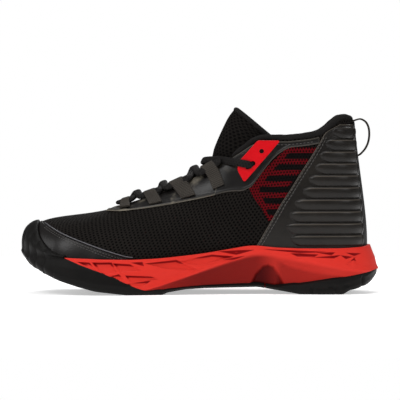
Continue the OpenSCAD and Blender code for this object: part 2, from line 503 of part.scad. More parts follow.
outsole_forefoot();
forefoot_tread();
outsole_heel();
heel_tread();
midsole();
shank_plate();
strobel_board();
sockliner();
upper_mesh();
toe_puff();
toe_mudguard();
piping_medial();
piping_lateral();
eyestay_medial();
eyestay_lateral();
ankle_mesh_medial();
ankle_mesh_lateral();
heel_panel_medial();
heel_panel_lateral();
back_stay();
heel_counter();
collar_foam();
collar_roll();
lining();
tongue_lower();
tongue_upper();
tongue_binding();
eyelet_tab_medial();
eyelet_tab_lateral();
lace_loops_medial();
lace_loops_lateral();
lace();
lace_tail_medial();
lace_tail_lateral();
aglet_medial();
aglet_lateral();
pull_loop();
pull_loop_anchors();
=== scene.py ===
import math
import bpy
import numpy as np
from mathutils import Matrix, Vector


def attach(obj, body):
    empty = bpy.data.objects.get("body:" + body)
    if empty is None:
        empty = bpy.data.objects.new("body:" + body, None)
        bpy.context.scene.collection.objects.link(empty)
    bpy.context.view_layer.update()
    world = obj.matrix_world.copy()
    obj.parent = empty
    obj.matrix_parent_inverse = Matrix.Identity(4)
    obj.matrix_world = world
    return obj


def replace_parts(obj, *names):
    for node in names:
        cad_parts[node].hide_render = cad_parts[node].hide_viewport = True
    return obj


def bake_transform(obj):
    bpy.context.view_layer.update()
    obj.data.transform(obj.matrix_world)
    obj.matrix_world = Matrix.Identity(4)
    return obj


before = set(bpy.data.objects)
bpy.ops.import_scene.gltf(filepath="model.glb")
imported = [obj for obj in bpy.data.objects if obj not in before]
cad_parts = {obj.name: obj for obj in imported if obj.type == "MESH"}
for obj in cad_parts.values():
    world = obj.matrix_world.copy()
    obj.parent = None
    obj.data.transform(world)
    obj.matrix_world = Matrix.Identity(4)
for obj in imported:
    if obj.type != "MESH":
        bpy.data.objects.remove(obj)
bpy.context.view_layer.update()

MM = 0.001
SHOE, TONGUE_TOP, PULL = "shoe", "tongue_top", "pull_loop"

# ---------------------------------------------------------------- camera, lights, floor
VIEW_WIDTH, LENS, SENSOR = 0.3335, 250, 36
DISTANCE = VIEW_WIDTH * LENS / SENSOR
CAMERA_TILT, CAMERA_AIM = math.radians(1.2), Vector((0.0002, 0, 0.0767))
ROOM_LEVEL, FLOOR_GLOW, FLOOR_HALF = 0.22, 0.45, 0.7
# name, place, what it points at, size, power
LAMPS = [
    ("key", (-0.75, -1.3, 1.35), (0, 0, 0.07), 0.8, 17),
    ("top", (0.1, -0.1, 1.5), (0, 0, 0.08), 0.8, 9),
    ("toe_side", (-1.3, -0.25, 0.75), (-0.05, 0, 0.05), 0.5, 4),
    ("heel_side", (1.2, -0.7, 0.8), (0.08, 0, 0.07), 0.5, 3.5),
    ("far_side", (0.3, 1.4, 1.1), (0, 0, 0.07), 0.9, 8),
]


def add_object(name, data):
    added = bpy.data.objects.new(name, data)
    bpy.context.collection.objects.link(added)
    return added


def place_camera():
    cam = add_object("camera", bpy.data.cameras.new("camera"))
    cam.data.lens = LENS
    cam.data.dof.use_dof = False
    cam.data.clip_end = 20
    cam.location = CAMERA_AIM + Vector((0, -math.cos(CAMERA_TILT), math.sin(CAMERA_TILT))) * DISTANCE
    cam.rotation_euler = (math.pi / 2 - CAMERA_TILT, 0, 0)
    bpy.context.scene.camera = cam


def area_light(name, place, target, size, power):
    lamp = bpy.data.lights.new(name, "AREA")
    lamp.size, lamp.energy = size, power
    lamp_object = add_object(name, lamp)
    lamp_object.location = place
    aim = Vector(target) - Vector(place)
    lamp_object.rotation_euler = aim.to_track_quat("-Z", "Y").to_euler()


def studio():
    world = bpy.data.worlds.new("studio")
    bpy.context.scene.world = world
    world.use_nodes = True
    tree = world.node_tree
    back = tree.nodes["Background"]
    # white behind the shoe, a dim room around it, so that the lamps shape the dark materials
    path = tree.nodes.new("ShaderNodeLightPath")
    level = tree.nodes.new("ShaderNodeMapRange")
    level.inputs["To Min"].default_value = ROOM_LEVEL
    level.inputs["To Max"].default_value = 1.0
    tree.links.new(path.outputs["Is Camera Ray"], level.inputs["Value"])
    tree.links.new(level.outputs["Result"], back.inputs["Strength"])
    back.inputs["Color"].default_value = (1, 1, 1, 1)
    for lamp in LAMPS:
        area_light(*lamp)
    mesh = bpy.data.meshes.new("floor")
    r = FLOOR_HALF
    mesh.from_pydata([(-r, -r, 0), (r, -r, 0), (r, r, 0), (-r, r, 0)], [], [(0, 1, 2, 3)])
    floor = add_object("floor", mesh)
    floor.location.z = -0.0002
    m = Shader("floor_paper")
    grain = m.noise(m.position(), 300, 2)
    m.finish(m.mix(grain, (0.93, 0.93, 0.93), (0.95, 0.95, 0.95)), 0.9, None, 0.0,
             Emission_Color=(1, 1, 1, 1), Emission_Strength=FLOOR_GLOW)
    mesh.materials.append(m.material)
    scene = bpy.context.scene
    scene.view_settings.view_transform = "Standard"
    scene.view_settings.look = "None"


# ---------------------------------------------------------------- node materials
def srgb(*levels):
    return tuple(c / 255 / 12.92 if c / 255 <= 0.04045 else ((c / 255 + 0.055) / 1.055) ** 2.4 for c in levels)


class Val:
    """A number in a shader, so that patterns can be written as sums."""

    def __init__(self, shader, socket):
        self.shader, self.socket = shader, socket

    def __rsub__(self, o):
        return self.shader.math("SUBTRACT", o, self)

    def step(self, a, b):
        return self.shader.ease(self, a, b)


def add_method(name, op):
    setattr(Val, name, lambda self, *others: self.shader.math(op, self, *others))


for method, operation in (
        ("__add__", "ADD"), ("__radd__", "ADD"), ("__sub__", "SUBTRACT"), ("__mul__", "MULTIPLY"),
        ("__rmul__", "MULTIPLY"), ("__truediv__", "DIVIDE"), ("floor", "FLOOR"), ("frac", "FRACT"),
        ("sin", "SINE"), ("power", "POWER"), ("mod", "FLOORED_MODULO"), ("max", "MAXIMUM"), ("min", "MINIMUM")):
    add_method(method, operation)


class Shader:
    """A Principled material and short calls that add nodes to it."""

    def __init__(self, name):
        self.material = bpy.data.materials.new(name)
        self.material.use_nodes = True
        self.tree = self.material.node_tree
        self.principled = self.tree.nodes["Principled BSDF"]

    def node(self, kind, **values):
        n = self.tree.nodes.new(kind)
        for key, value in values.items():
            setattr(n, key, value)
        return n

    def put(self, socket, value):
        value = getattr(value, "socket", value)
        if isinstance(value, bpy.types.NodeSocket):
            self.tree.links.new(value, socket)
        elif isinstance(value, tuple) and len(value) == 3:
            socket.default_value = (*value, 1)
        else:
            socket.default_value = value

    def math(self, op, *values):
        n = self.node("ShaderNodeMath", operation=op)
        for socket, value in zip(n.inputs, values):
            self.put(socket, value)
        return Val(self, n.outputs[0])

    def ease(self, value, a, b):
        n = self.node("ShaderNodeMapRange", interpolation_type="SMOOTHSTEP")
        for key, v in zip(("Value", "From Min", "From Max"), (value, a, b)):
            self.put(n.inputs[key], v)
        return Val(self, n.outputs["Result"])

    def position(self):
        return self.node("ShaderNodeTexCoord").outputs["Object"]

    def cloth(self):
        """The piece's own flat coordinates in millimetres: along, across, and a third value."""
        n = self.node("ShaderNodeSeparateXYZ")
        self.put(n.inputs[0], self.node("ShaderNodeAttribute", attribute_name="cloth").outputs["Vector"])
        return [Val(self, output) for output in n.outputs]

    def noise(self, vector, scale, detail=3, rough=0.5):
        n = self.node("ShaderNodeTexNoise")
        self.put(n.inputs["Vector"], vector)
        for key, v in (("Scale", scale), ("Detail", detail), ("Roughness", rough)):
            n.inputs[key].default_value = v
        return Val(self, n.outputs["Fac"])

    def cells(self, vector, scale):
        n = self.node("ShaderNodeTexVoronoi", feature="F1")
        self.put(n.inputs["Vector"], vector)
        n.inputs["Scale"].default_value = scale
        return Val(self, n.outputs["Distance"])

    def blend(self, kind, first, factor, a, b):
        n = self.node("ShaderNodeMix", data_type=kind)
        for i, v in zip((0, first, first + 1), (factor, a, b)):
            self.put(n.inputs[i], v)
        return n

    def mix(self, factor, a, b):
        return self.blend("RGBA", 6, factor, a, b).outputs[2]

    def mix_value(self, factor, a, b):
        return Val(self, self.blend("FLOAT", 2, factor, a, b).outputs[0])

    def bump(self, height, distance, strength=1.0, below=None):
        n = self.node("ShaderNodeBump")
        self.put(n.inputs["Height"], height)
        n.inputs["Distance"].default_value = distance
        n.inputs["Strength"].default_value = strength
        if below is not None:
            self.put(n.inputs["Normal"], below)
        return n.outputs[0]

    def dots(self, x, y, wide, tall, radius, soft):
        """1 inside round holes in a brick lattice, 0 between them."""
        row = (y / tall).floor()
        u = (x / wide + row.mod(2.0) * 0.5).frac() - 0.5
        v = (y / tall).frac() - 0.5
        away = ((u * u) * (wide * wide) + (v * v) * (tall * tall)).power(0.5)
        return 1.0 - away.step(radius - soft, radius + soft)

    def finish(self, colour, rough, normal=None, gloss=0.5, **more):
        p = self.principled.inputs
        for key, value in (("Base Color", colour), ("Roughness", rough), ("Specular IOR Level", gloss)):
            self.put(p[key], value)
        if normal is not None:
            self.put(p["Normal"], normal)
        for key, value in more.items():
            self.put(p[key.replace("_", " ")], value)
        return self.material


def make_bootie_mesh():
    m = Shader("bootie_mesh")
    x, y, _ = m.cloth()
    wave = (x * 0.9).sin() * 0.25
    holes = m.dots(x, y + wave, 3.4, 2.3, 0.8, 0.25)
    yarn = (x * 5.0 + y * 3.0).sin() * (y * 6.0).sin()
    tone = m.noise(m.position(), 26, 3)
    cloth = m.mix(tone, srgb(17, 15, 13), srgb(31, 28, 26))
    colour = m.mix(holes, cloth, srgb(1, 1, 1))
    height = 1.0 - holes + yarn * 0.12
    return m.finish(colour, m.mix_value(holes, 0.62, 0.95), m.bump(height, 0.0004, 0.9), 0.04)


def make_tongue_mesh():
    m = Shader("tongue_mesh")
    x, y, _ = m.cloth()
    holes = m.dots(x, y, 3.3, 2.7, 0.92, 0.3)
    fine = m.dots(x, y, 1.1, 0.9, 0.26, 0.12)
    tone = m.noise(m.position(), 40, 3)
    cloth = m.mix(tone, srgb(16, 14, 12), srgb(29, 26, 24))
    colour = m.mix((holes + fine * 0.5).min(1.0), cloth, srgb(3, 2, 2))
    return m.finish(colour, 0.9, m.bump(1.0 - holes - fine * 0.3, 0.0009, 0.9), 0.06)


def make_striped_mesh():
    m = Shader("striped_mesh")
    x, y, z = m.cloth()
    holes = m.dots(x, y, 2.6, 2.2, 0.72, 0.22)
    red = z.step(0.25, 0.6)
    cloth = m.mix(red, srgb(11, 9, 9), srgb(84, 6, 13))
    colour = m.mix(holes, cloth, srgb(4, 2, 2))
    return m.finish(colour, 0.8, m.bump(1.0 - holes, 0.0003, 0.9), 0.05)


PEBBLE = 900


def make_skin(name, dark, light, rough, gloss, blotch=0.8, wear_and_highlight=0.5):
    """Coated synthetic: fine pebble grain, edges a little lighter from rubbing, and a painted highlight along any
    line the third value marks, as on the heel ribs.
    """
    m = Shader(name)
    p = m.position()
    pebble = m.cells(p, PEBBLE)
    broad = m.noise(p, 35, 4, 0.6)
    _, _, edge = m.cloth()
    # lighter near the edges from rubbing, and along lines the third value marks, which on the heel ribs are a painted
    # highlight
    rubbed_and_highlight = 1.0 - edge.step(0.0, 1.4)
    colour = m.mix((broad * blotch + rubbed_and_highlight * wear_and_highlight).min(1.0), dark, light)
    surface = m.bump(pebble, 0.00012, 0.5, m.bump(broad, 0.0006, 0.25))
    return m.finish(colour, m.mix_value(broad, rough - 0.05, rough + 0.1), surface, gloss)


def make_eyestay():
    """Satin skin, paler in soft patches: painted highlights, strongest beneath the lacing."""
    m = Shader("eyestay_skin")
    p = m.position()
    pebble = m.cells(p, PEBBLE)
    broad = m.noise(p, 62, 3, 0.5)
    _, _, third = m.cloth()
    laced = third.step(4.2, 4.8)
    rubbed_and_highlight = 1.0 - (third - laced * 5.0).step(0.0, 1.5)
    # pale patches: a painted highlight where the lacing is, faint elsewhere; edges there are paler too
    wear_and_highlight = broad.step(0.5, 0.72) * (laced * 0.7 + 0.18)
    pale = (wear_and_highlight + rubbed_and_highlight * (laced * 0.35 + 0.2)).min(1.0)
    colour = m.mix(pale, srgb(15, 13, 12), srgb(122, 115, 102))
    surface = m.bump(pebble, 0.00012, 0.5, m.bump(broad, 0.0008, 0.35))
    return m.finish(colour, m.mix_value(broad, 0.3, 0.45), surface, 0.26)


def make_rubber(name, dark, light, rough=0.5):
    m = Shader(name)
    p = m.position()
    fine = m.noise(p, 1800, 2)
    broad = m.noise(p, 60, 4, 0.6)
    return m.finish(m.mix(broad, dark, light), m.mix_value(broad, rough - 0.06, rough + 0.1),
                    m.bump(fine, 0.00008, 0.4), 0.11)


def make_foam_sidewall():
    """Moulded foam painted satin red, with painted shade that darkens it in the slits of its hollows and below the
    flare.
    """
    m = Shader("midsole_foam")
    p = m.position()
    # the first two cloth values are painted shade masks: in the slits of the hollows, and below the flare's crest
    hollow, painted_under_shade, _ = m.cloth()
    fine = m.noise(p, 1500, 2)
    broad = m.noise(p, 45, 3)
    bright = m.mix(broad, srgb(200, 42, 34), srgb(212, 54, 44))
    # painted shade: dark red in the slits along the hollows' upper edges
    slit_shaded = m.mix(hollow.step(0.1, 0.9), bright, srgb(126, 4, 8))
    # painted shade: near-black red below the flare's crest and in the arch hollow, where the foam faces down
    colour = m.mix(painted_under_shade.step(0.0, 1.0), slit_shaded, srgb(64, 0, 1))
    return m.finish(colour, 0.45, m.bump(fine, 0.00006, 0.4), 0.07)


def make_webbing():
    """Flat woven ribbon, with a rib every 1.5 mm along it."""
    m = Shader("webbing")
    x, y, _ = m.cloth()
    k = 2 * math.pi / 1.5
    rib = ((x * k).sin() * 0.5 + 0.5) * ((y * k + (x * k * 0.5).sin()).sin() * 0.3 + 0.7)
    tone = m.noise(m.position(), 90, 3)
    colour = m.mix((rib * 0.7 + tone * 0.4).min(1.0), srgb(16, 14, 13), srgb(74, 69, 63))
    return m.finish(colour, 0.75, m.bump(rib, 0.0002, 0.8), 0.12)


def make_braid():
    m = Shader("lace_braid")
    x, y, _ = m.cloth()
    a, b = (x * 2.6 + y * 1.5).sin(), (x * 2.6 - y * 1.5).sin()
    plait = a.max(b)
    tone = m.noise(m.position(), 120, 3)
    colour = m.mix((plait * 0.35 + 0.35 + tone * 0.3).min(1.0), srgb(8, 7, 7), srgb(28, 26, 25))
    return m.finish(colour, 0.7, m.bump(plait, 0.0002, 0.6), 0.1)


def make_knit(name, dark, light, size):
    m = Shader(name)
    x, y, _ = m.cloth()
    k = 2 * math.pi / size
    loops = ((x * k).sin() * (y * k).sin()) * 0.5 + 0.5
    fuzz = m.noise(m.position(), 700, 4, 0.7)
    colour = m.mix((loops * 0.5 + fuzz * 0.5).min(1.0), dark, light)
    return m.finish(colour, 0.9, m.bump(loops + fuzz * 0.5, 0.00025, 0.7), 0.12)


def make_plain(name, dark, light, rough, scale=200, distance=0.0001, gloss=0.5):
    m = Shader(name)
    speck = m.noise(m.position(), scale, 4, 0.6)
    return m.finish(m.mix(speck, dark, light), m.mix_value(speck, rough - 0.05, rough + 0.07),
                    m.bump(speck, distance, 0.4), gloss)


def make_thread(name, dark, light):
    m = Shader(name)
    x, _, _ = m.cloth()
    twist = (x * 9.0).sin() * 0.5 + 0.5
    return m.finish(m.mix(twist, dark, light), 0.6, m.bump(twist, 0.0001, 0.6), Sheen_Weight=0.2)


# ---------------------------------------------------------------- the upper's surface
# x, y medial, y lateral, z of the board line; x, y, z of the rim; rise and bulge at the
# board; x, y, z of the pull at the rim. Station 0 is the heel, 10 the toe.
STATIONS = [
    [137, 0, 0, 26, 127, 0, 148, 30, 4.5, 2.5, 0, -44],
    [128, -26, 26, 25, 116.5, -19.5, 149, 32, 4.5, 5.5, -4, -46],
    [104, -35, 37, 24, 100, -30, 136.5, 32, 5, 2, -3, -42],
    [76, -34, 39, 23, 75, -34, 132, 30, 6, 1, -1, -40],
    [46, -32, 40, 21, 49, -33, 131, 28, 8, 1, -1, -40],
    [16, -34, 42, 18, 33, -30, 121, 26, 8, -2, -7, -34],
    [-18, -40, 46, 15, 9, -26, 103, 24, 7, -6, -14, -24],
    [-54, -48, 50, 14, -24, -20, 86, 24, 5, -9, -19, -14],
    [-90, -50, 46, 17, -52, -13, 75.5, 26, 2, -14, -22, -8],
    [-122, -43, 36, 25, -69, -7, 70.5, 30, 3, -30, -19, -8],
    [-143, -9, -9, 34, -76, 0, 69, 34, 3, -42, -4, -9],
]


def ring_table():
    medial = [[r[0], r[1], *r[3:]] for r in STATIONS]
    lateral = [[r[0], *r[2:5], -r[5], *r[6:10], -r[10], r[11]] for r in STATIONS[9:0:-1]]
    return np.array(medial + lateral, float)


RING = ring_table()


def ease(a, b, x):
    f = np.clip((np.asarray(x, float) - a) / (b - a), 0, 1)
    return f * f * (3 - 2 * f)


def glide(a, b, c, d, f):
    """From b to c on a smooth curve that a and d steer."""
    return 0.5 * (2 * b + (c - a) * f + (2 * a - 5 * b + 4 * c - d) * f * f + (3 * b - a - 3 * c + d) * f ** 3)


def run_of(path):
    """Length along a path, up to each of its points."""
    return np.concatenate([[0], np.cumsum(np.linalg.norm(np.diff(path, axis=0), axis=-1))])


def station(s):
    s = np.asarray(s, float)
    i = np.floor(s).astype(int)
    rows = [RING[(i + j) % 20] for j in (-1, 0, 1, 2)]
    return glide(*rows, (s - i)[..., None])


def unit(v):
    return v / np.maximum(np.linalg.norm(v, axis=-1, keepdims=True), 1e-9)


def outward(s):
    step = station(np.asarray(s) + 0.01) - station(np.asarray(s) - 0.01)
    v = unit(step[..., :2])
    return np.stack([-v[..., 1], v[..., 0], np.zeros(v.shape[:-1])], -1)


def wall(s):
    r = station(s)
    p, q = r[..., 0:3], r[..., 3:6]
    rise = outward(s) * r[..., 7:8]
    rise[..., 2] += r[..., 6]
    return p, p + rise, q + r[..., 8:11], q


def along(w, t):
    t = t[..., None]
    return w[0] * (1 - t) ** 3 + w[1] * 3 * t * (1 - t) ** 2 + w[2] * 3 * t * t * (1 - t) + w[3] * t ** 3


def slope(w, t):
    t = t[..., None]
    return 3 * ((w[1] - w[0]) * (1 - t) ** 2 + (w[2] - w[1]) * 2 * t * (1 - t) + (w[3] - w[2]) * t * t)


def surf(s, t, d=0.0):
    s, t, d = np.broadcast_arrays(np.asarray(s, float), np.asarray(t, float), np.asarray(d, float))
    w = wall(s)
    across = along(wall(s + 0.02), t) - along(wall(s - 0.02), t)
    return along(w, t) + unit(np.cross(slope(w, t), across)) * d[..., None]


def t_at(s, z, start=0.3):
    s, z = np.broadcast_arrays(np.asarray(s, float), np.asarray(z, float))
    w, t = wall(s), np.full(s.shape, start)
    for _ in range(8):
        t = np.clip(t + (z - along(w, t)[..., 2]) / np.maximum(8, slope(w, t)[..., 2]), 0, 1)
    return t


def side(s):
    s = np.mod(s, 20)
    return np.minimum(s, 20 - s)


def lookup(x, table):
    table = np.asarray(table, float)
    return np.interp(x, table[:, 0], table[:, 1])


def smooth_lookup(x, table, reach):
    return sum(lookup(np.asarray(x) + reach * f, table) for f in (-1, -0.6, -0.2, 0.2, 0.6, 1)) / 6


def wall_length(s):
    t = np.linspace(0, 1, 24)
    w = [c[..., None, :] for c in wall(s)]
    p = along(w, np.broadcast_to(t, np.shape(s) + (24,)))
    return np.linalg.norm(np.diff(p, axis=-2), axis=-1).sum(-1)


STEPS = np.linspace(-10, 30, 1601)
RUN = run_of(surf(STEPS, 0.45))


def flat_coords(s, t, third=0.0):
    """Millimetres along and up the wall, for the weave."""
    a = np.interp(s, STEPS, RUN)
    return np.stack(np.broadcast_arrays(a, t * wall_length(s), third), -1)


def waves(p, scale, seed=0.0):
    """Soft folds: a sum of slow sines, about -1 to 1."""
    x, y, z = (p[..., i] / scale for i in range(3))
    return (np.sin(x * 1.7 + y * 0.9 + seed) + np.sin(y * 1.9 - z * 1.3 + seed * 2.1)
            + np.sin(z * 2.3 + x * 0.7 + seed * 0.7)) / 3


# ---------------------------------------------------------------- solids from grids
def make_object(name, points, faces, cloth, material, body):
    """A piece from quads; faces that look inward are turned first."""
    if volume(points, faces) < 0:
        faces = faces[:, ::-1]
    mesh = bpy.data.meshes.new(name)
    mesh.vertices.add(len(points))
    mesh.vertices.foreach_set("co", (np.asarray(points) * MM).astype(np.float32).ravel())
    mesh.loops.add(faces.size)
    mesh.polygons.add(len(faces))
    mesh.loops.foreach_set("vertex_index", faces.astype(np.int32).ravel())
    mesh.polygons.foreach_set("loop_start", np.arange(0, faces.size, faces.shape[1], dtype=np.int32))
    mesh.polygons.foreach_set("use_smooth", np.ones(len(faces), bool))
    mesh.update(calc_edges=True)
    layer = mesh.attributes.new("cloth", "FLOAT_VECTOR", "POINT")
    layer.data.foreach_set("vector", np.asarray(cloth, np.float32).ravel())
    mesh.validate()
    mesh.materials.append(material)
    piece = add_object(name, mesh)
    if body:
        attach(piece, body)
    return piece


def volume(points, faces):
    a, b, c, d = (points[faces[:, i]] for i in range(4))
    return (np.einsum("ij,ij->i", a, np.cross(b, c)) + np.einsum("ij,ij->i", a, np.cross(c, d))).sum()


def shell_faces(nu, nv, ring):
    """Quads of a closed sheet whose inner and outer skins are grids of nu by nv points."""
    cols = nu if ring else nu - 1
    i, j = np.meshgrid(np.arange(cols), np.arange(nv - 1), indexing="ij")
    ids = lambda i, j, k: (k * nu + i % nu) * nv + j
    quads = [
        [ids(i, j, 1), ids(i + 1, j, 1), ids(i + 1, j + 1, 1), ids(i, j + 1, 1)],
        [ids(i, j, 0), ids(i, j + 1, 0), ids(i + 1, j + 1, 0), ids(i + 1, j, 0)],
    ]
    e = np.arange(cols)
    quads.append([ids(e + 1, 0, 1), ids(e, 0, 1), ids(e, 0, 0), ids(e + 1, 0, 0)])
    quads.append([ids(e, nv - 1, 1), ids(e + 1, nv - 1, 1), ids(e + 1, nv - 1, 0), ids(e, nv - 1, 0)])
    if not ring:
        e = np.arange(nv - 1)
        quads.append([ids(0, e, 1), ids(0, e + 1, 1), ids(0, e + 1, 0), ids(0, e, 0)])
        quads.append([ids(nu - 1, e + 1, 1), ids(nu - 1, e, 1), ids(nu - 1, e, 0), ids(nu - 1, e + 1, 0)])
    return np.concatenate([np.stack([np.ravel(c) for c in q], -1) for q in quads])


def shell(name, outer, inner, cloth, material, body, ring=False):
    """Closed sheet between two grids of points."""
    nu, nv = outer.shape[:2]
    points = np.concatenate([inner.reshape(-1, 3), outer.reshape(-1, 3)])
    both = np.concatenate([cloth.reshape(-1, 3)] * 2)
    return make_object(name, points, shell_faces(nu, nv, ring), both, material, body)


def loft(name, loops, cloth, material):
    """Closed skin through a stack of loops, closed across the shoe at both ends."""
    k, n = loops.shape[:2]
    i, j = np.meshgrid(np.arange(k - 1), np.arange(n), indexing="ij")
    m = (j + 1) % n
    sides = np.stack([v.ravel() for v in (i * n + j, i * n + m, (i + 1) * n + m, (i + 1) * n + j)], -1)
    e = np.arange(n // 2 - 1)
    last = (k - 1) * n
    low = np.stack([e + 1, e, n - 1 - e, n - 2 - e], -1)
    high = np.stack([last + e, last + e + 1, last + n - 2 - e, last + n - 1 - e], -1)
    faces = np.concatenate([sides, low, high])
    return make_object(name, loops.reshape(-1, 3), faces, cloth.reshape(-1, 3), material, SHOE)


def tube_faces(rows, sides):
    """Quads of a closed tube, with a strip of quads over each end."""
    i, j = np.meshgrid(np.arange(rows - 1), np.arange(sides), indexing="ij")
    m = (j + 1) % sides
    wall_quads = [i * sides + j, (i + 1) * sides + j, (i + 1) * sides + m, i * sides + m]
    half = np.arange(sides // 2 - 1)
    first = np.stack([half, half + 1, sides - 2 - half, sides - 1 - half], -1)
    return np.concatenate([np.stack([v.ravel() for v in wall_quads], -1), first, first[:, ::-1] + (rows - 1) * sides])


def tube(name, path, flats, wide, thick, material, body, sides=16, square=0.0, swell=1.0):
    """Oval or flat tube along a path; flats is the direction across its thin side."""
    n = len(path)
    tangent = unit(np.gradient(path, axis=0))
    across = unit(np.cross(tangent, flats))
    up = np.cross(across, tangent)
    angle = np.linspace(0, 2 * math.pi, sides, endpoint=False) + math.pi / sides
    c, f = (np.sign(v) * np.abs(v) ** (1 - square) for v in (np.cos(angle), np.sin(angle)))
    grow = np.broadcast_to(swell, n)[:, None, None]
    rings = (path[:, None] + across[:, None] * (c[None, :, None] * wide / 2 * grow)
             + up[:, None] * (f[None, :, None] * thick / 2 * grow))
    cloth = row_cloth(rings, run_of(path)[:, None], (c * wide / 2)[None])
    return make_object(name, rings.reshape(-1, 3), tube_faces(n, sides), cloth.reshape(-1, 3), material, body)


def row_cloth(rows, a=0.0, b=0.0, c=0.0):
    shape = rows.shape[:-1]
    return np.stack([np.broadcast_to(np.asarray(v, float), shape) for v in (a, b, c)], -1)


def spline(points, n):
    """Smooth path through given points."""
    p = np.asarray(points, float)
    p = np.vstack([p[0], p, p[-1]])
    f = np.linspace(0, 1, n, endpoint=False)[:, None]
    parts = [glide(p[i], p[i + 1], p[i + 2], p[i + 3], f) for i in range(len(p) - 3)]
    return np.vstack(parts + [p[-1:]])


def even(path, step):
    run = run_of(path)
    at = np.linspace(0, run[-1], max(3, int(run[-1] / step)))
    return np.stack([np.interp(at, run, path[:, i]) for i in range(3)], -1)


def flip_y(p):
    return np.asarray(p, float) * [1, -1, 1]


# ---------------------------------------------------------------- sole
BOTTOM = [[-150, 38], [-148, 33], [-144, 28], [-140, 24], [-134, 20], [-125, 16], [-115, 11.7],
          [-102, 7.5], [-87, 3.3], [-82, 2.5], [-67, 0.8], [-60, 0], [-30, 0], [-27, 1.7], [-12, 4.2],
          [3, 5], [48, 5.8], [58, 4.2], [68, 2.5], [78, 0.8], [82, 0], [118, 0], [123, 3.3], [128, 4.2],
          [138, 7.5], [143, 10.8], [148, 15], [150, 20]]
RUBBER_TOP = [[-145, 59], [-142.5, 58], [-140, 54], [-133, 45], [-125, 37.5], [-115, 31.7], [-108, 29],
              [-97, 24], [-82, 18.3], [-67, 11.7], [-52, 4.4], [-45, 2], [-27, 3], [-12, 5.6], [3, 6.4],
              [44, 7.2], [60, 5.4], [83, 6.4], [108, 10.8], [125, 13.8], [138, 16.7], [149, 20]]
RIM = [[-143, 38], [-125, 32], [-107, 29.5], [-83, 28.3], [-58, 28.3], [-37, 29.6], [-17, 31.7],
       [0, 33.7], [21, 37], [37, 39.6], [46, 40], [62, 38.3], [83, 37.5], [117, 37.5], [133, 38.3], [142, 41]]
TREAD = [[-138, 0], [-132, 1.8], [-30, 1.8], [-12, 0.1], [60, 0.1], [76, 1.8], [144, 1.8], [149, 0.4]]
FLARE = [[0, 11.3], [1, 10], [2, 8], [3, 6.5], [4, 5.5], [5, 5.5], [6, 6.2], [7, 7], [8, 7.5], [10, 7]]
RUBBER_T = 2.2
# the crest of the flared sidewall, above which the foam faces up and below which it tucks in
CREST = [[-60, 2], [-42, 5], [-12, 15], [20, 27], [42, 34.5], [54, 35], [75, 31], [100, 26], [125, 20.5], [150, 19]]
WAIST = [[-50, 0], [-10, 1.6], [30, 3.6], [58, 3.6], [80, 2], [105, 0.8], [130, 0]]
RIDGE = [[55, 32], [65, 28.8], [75, 23.8], [91.7, 20], [108.3, 17.5], [125, 15.5]]
TUCK = [[-60, 0], [-35, 2], [0, 5], [30, 7.5], [60, 7], [90, 4.5], [125, 2], [145, 0.5]]


class Sole:
    """Everything about the sole at a row of stations, worked out once."""

    def __init__(self, s):
        self.s = np.asarray(s, float)
        self.board = surf(self.s, 0.0)
        self.out = outward(self.s)
        self.w = smooth_lookup(side(self.s), FLARE, 0.4)
        self.rim_t = t_at(self.s, smooth_lookup(self.board[:, 0], RIM, 4), 0.15)
        self.rim = surf(self.s, self.rim_t, 4.1)
        self.r = ((self.rim - self.board) * self.out).sum(-1)
        edge = (self.board + self.out * self.w[:, None])[:, 0]
        # at the nose the wall is low, and its flare shrinks with it
        low = ease(14, 3, self.rim[:, 2] - smooth_lookup(edge, BOTTOM, 2.5))
        self.w = self.w + (self.r + 1.6 - self.w) * low
        edge = (self.board + self.out * self.w[:, None])[:, 0]
        self.waist = smooth_lookup(edge, WAIST, 8)
        z = smooth_lookup(edge, BOTTOM, 2.5)
        top = smooth_lookup(edge, RUBBER_TOP, 2.5)
        self.rubber_h = np.clip((top - z) / (self.rim[:, 2] - z), 0.055, 1)
        self.start_h = np.minimum(0.06, self.rubber_h * 0.6)
        self.toe = self.rubber_h >= 1

    def at(self, h, inset=0.0, lift=0.0, lip=False):
        """The sidewall at height h, 0 at the floor and 1 at the rim."""
        h, inset, lift = (np.broadcast_to(np.asarray(v, float), self.s.shape) for v in (h, inset, lift))
        w, r, q = self.w, self.r, self.waist
        knots = [0, 0.05, 0.2, 0.6, 1]
        offs = [w - 3.5 - q, w - 0.8 - q, w - q * 0.9, w * 0.65 + r * 0.35, r]
        off = np.zeros(self.s.shape)
        for a, b, u, v in zip(knots[:-1], knots[1:], offs[:-1], offs[1:]):
            inside = (h >= a) & (h <= b)
            off = np.where(inside, u + (v - u) * (h - a) / (b - a), off)
        off = np.where(h > 1, r, off)
        p = self.board + self.out * (off - inset)[:, None]
        tread = smooth_lookup(p[:, 0], TREAD, 1.5)
        z = smooth_lookup(p[:, 0], BOTTOM, 1.5) + tread * (ease(0, 0.12, h) if lip else 1)
        p[:, 2] = z + lift + h * (self.rim[:, 2] - z - lift)
        return p


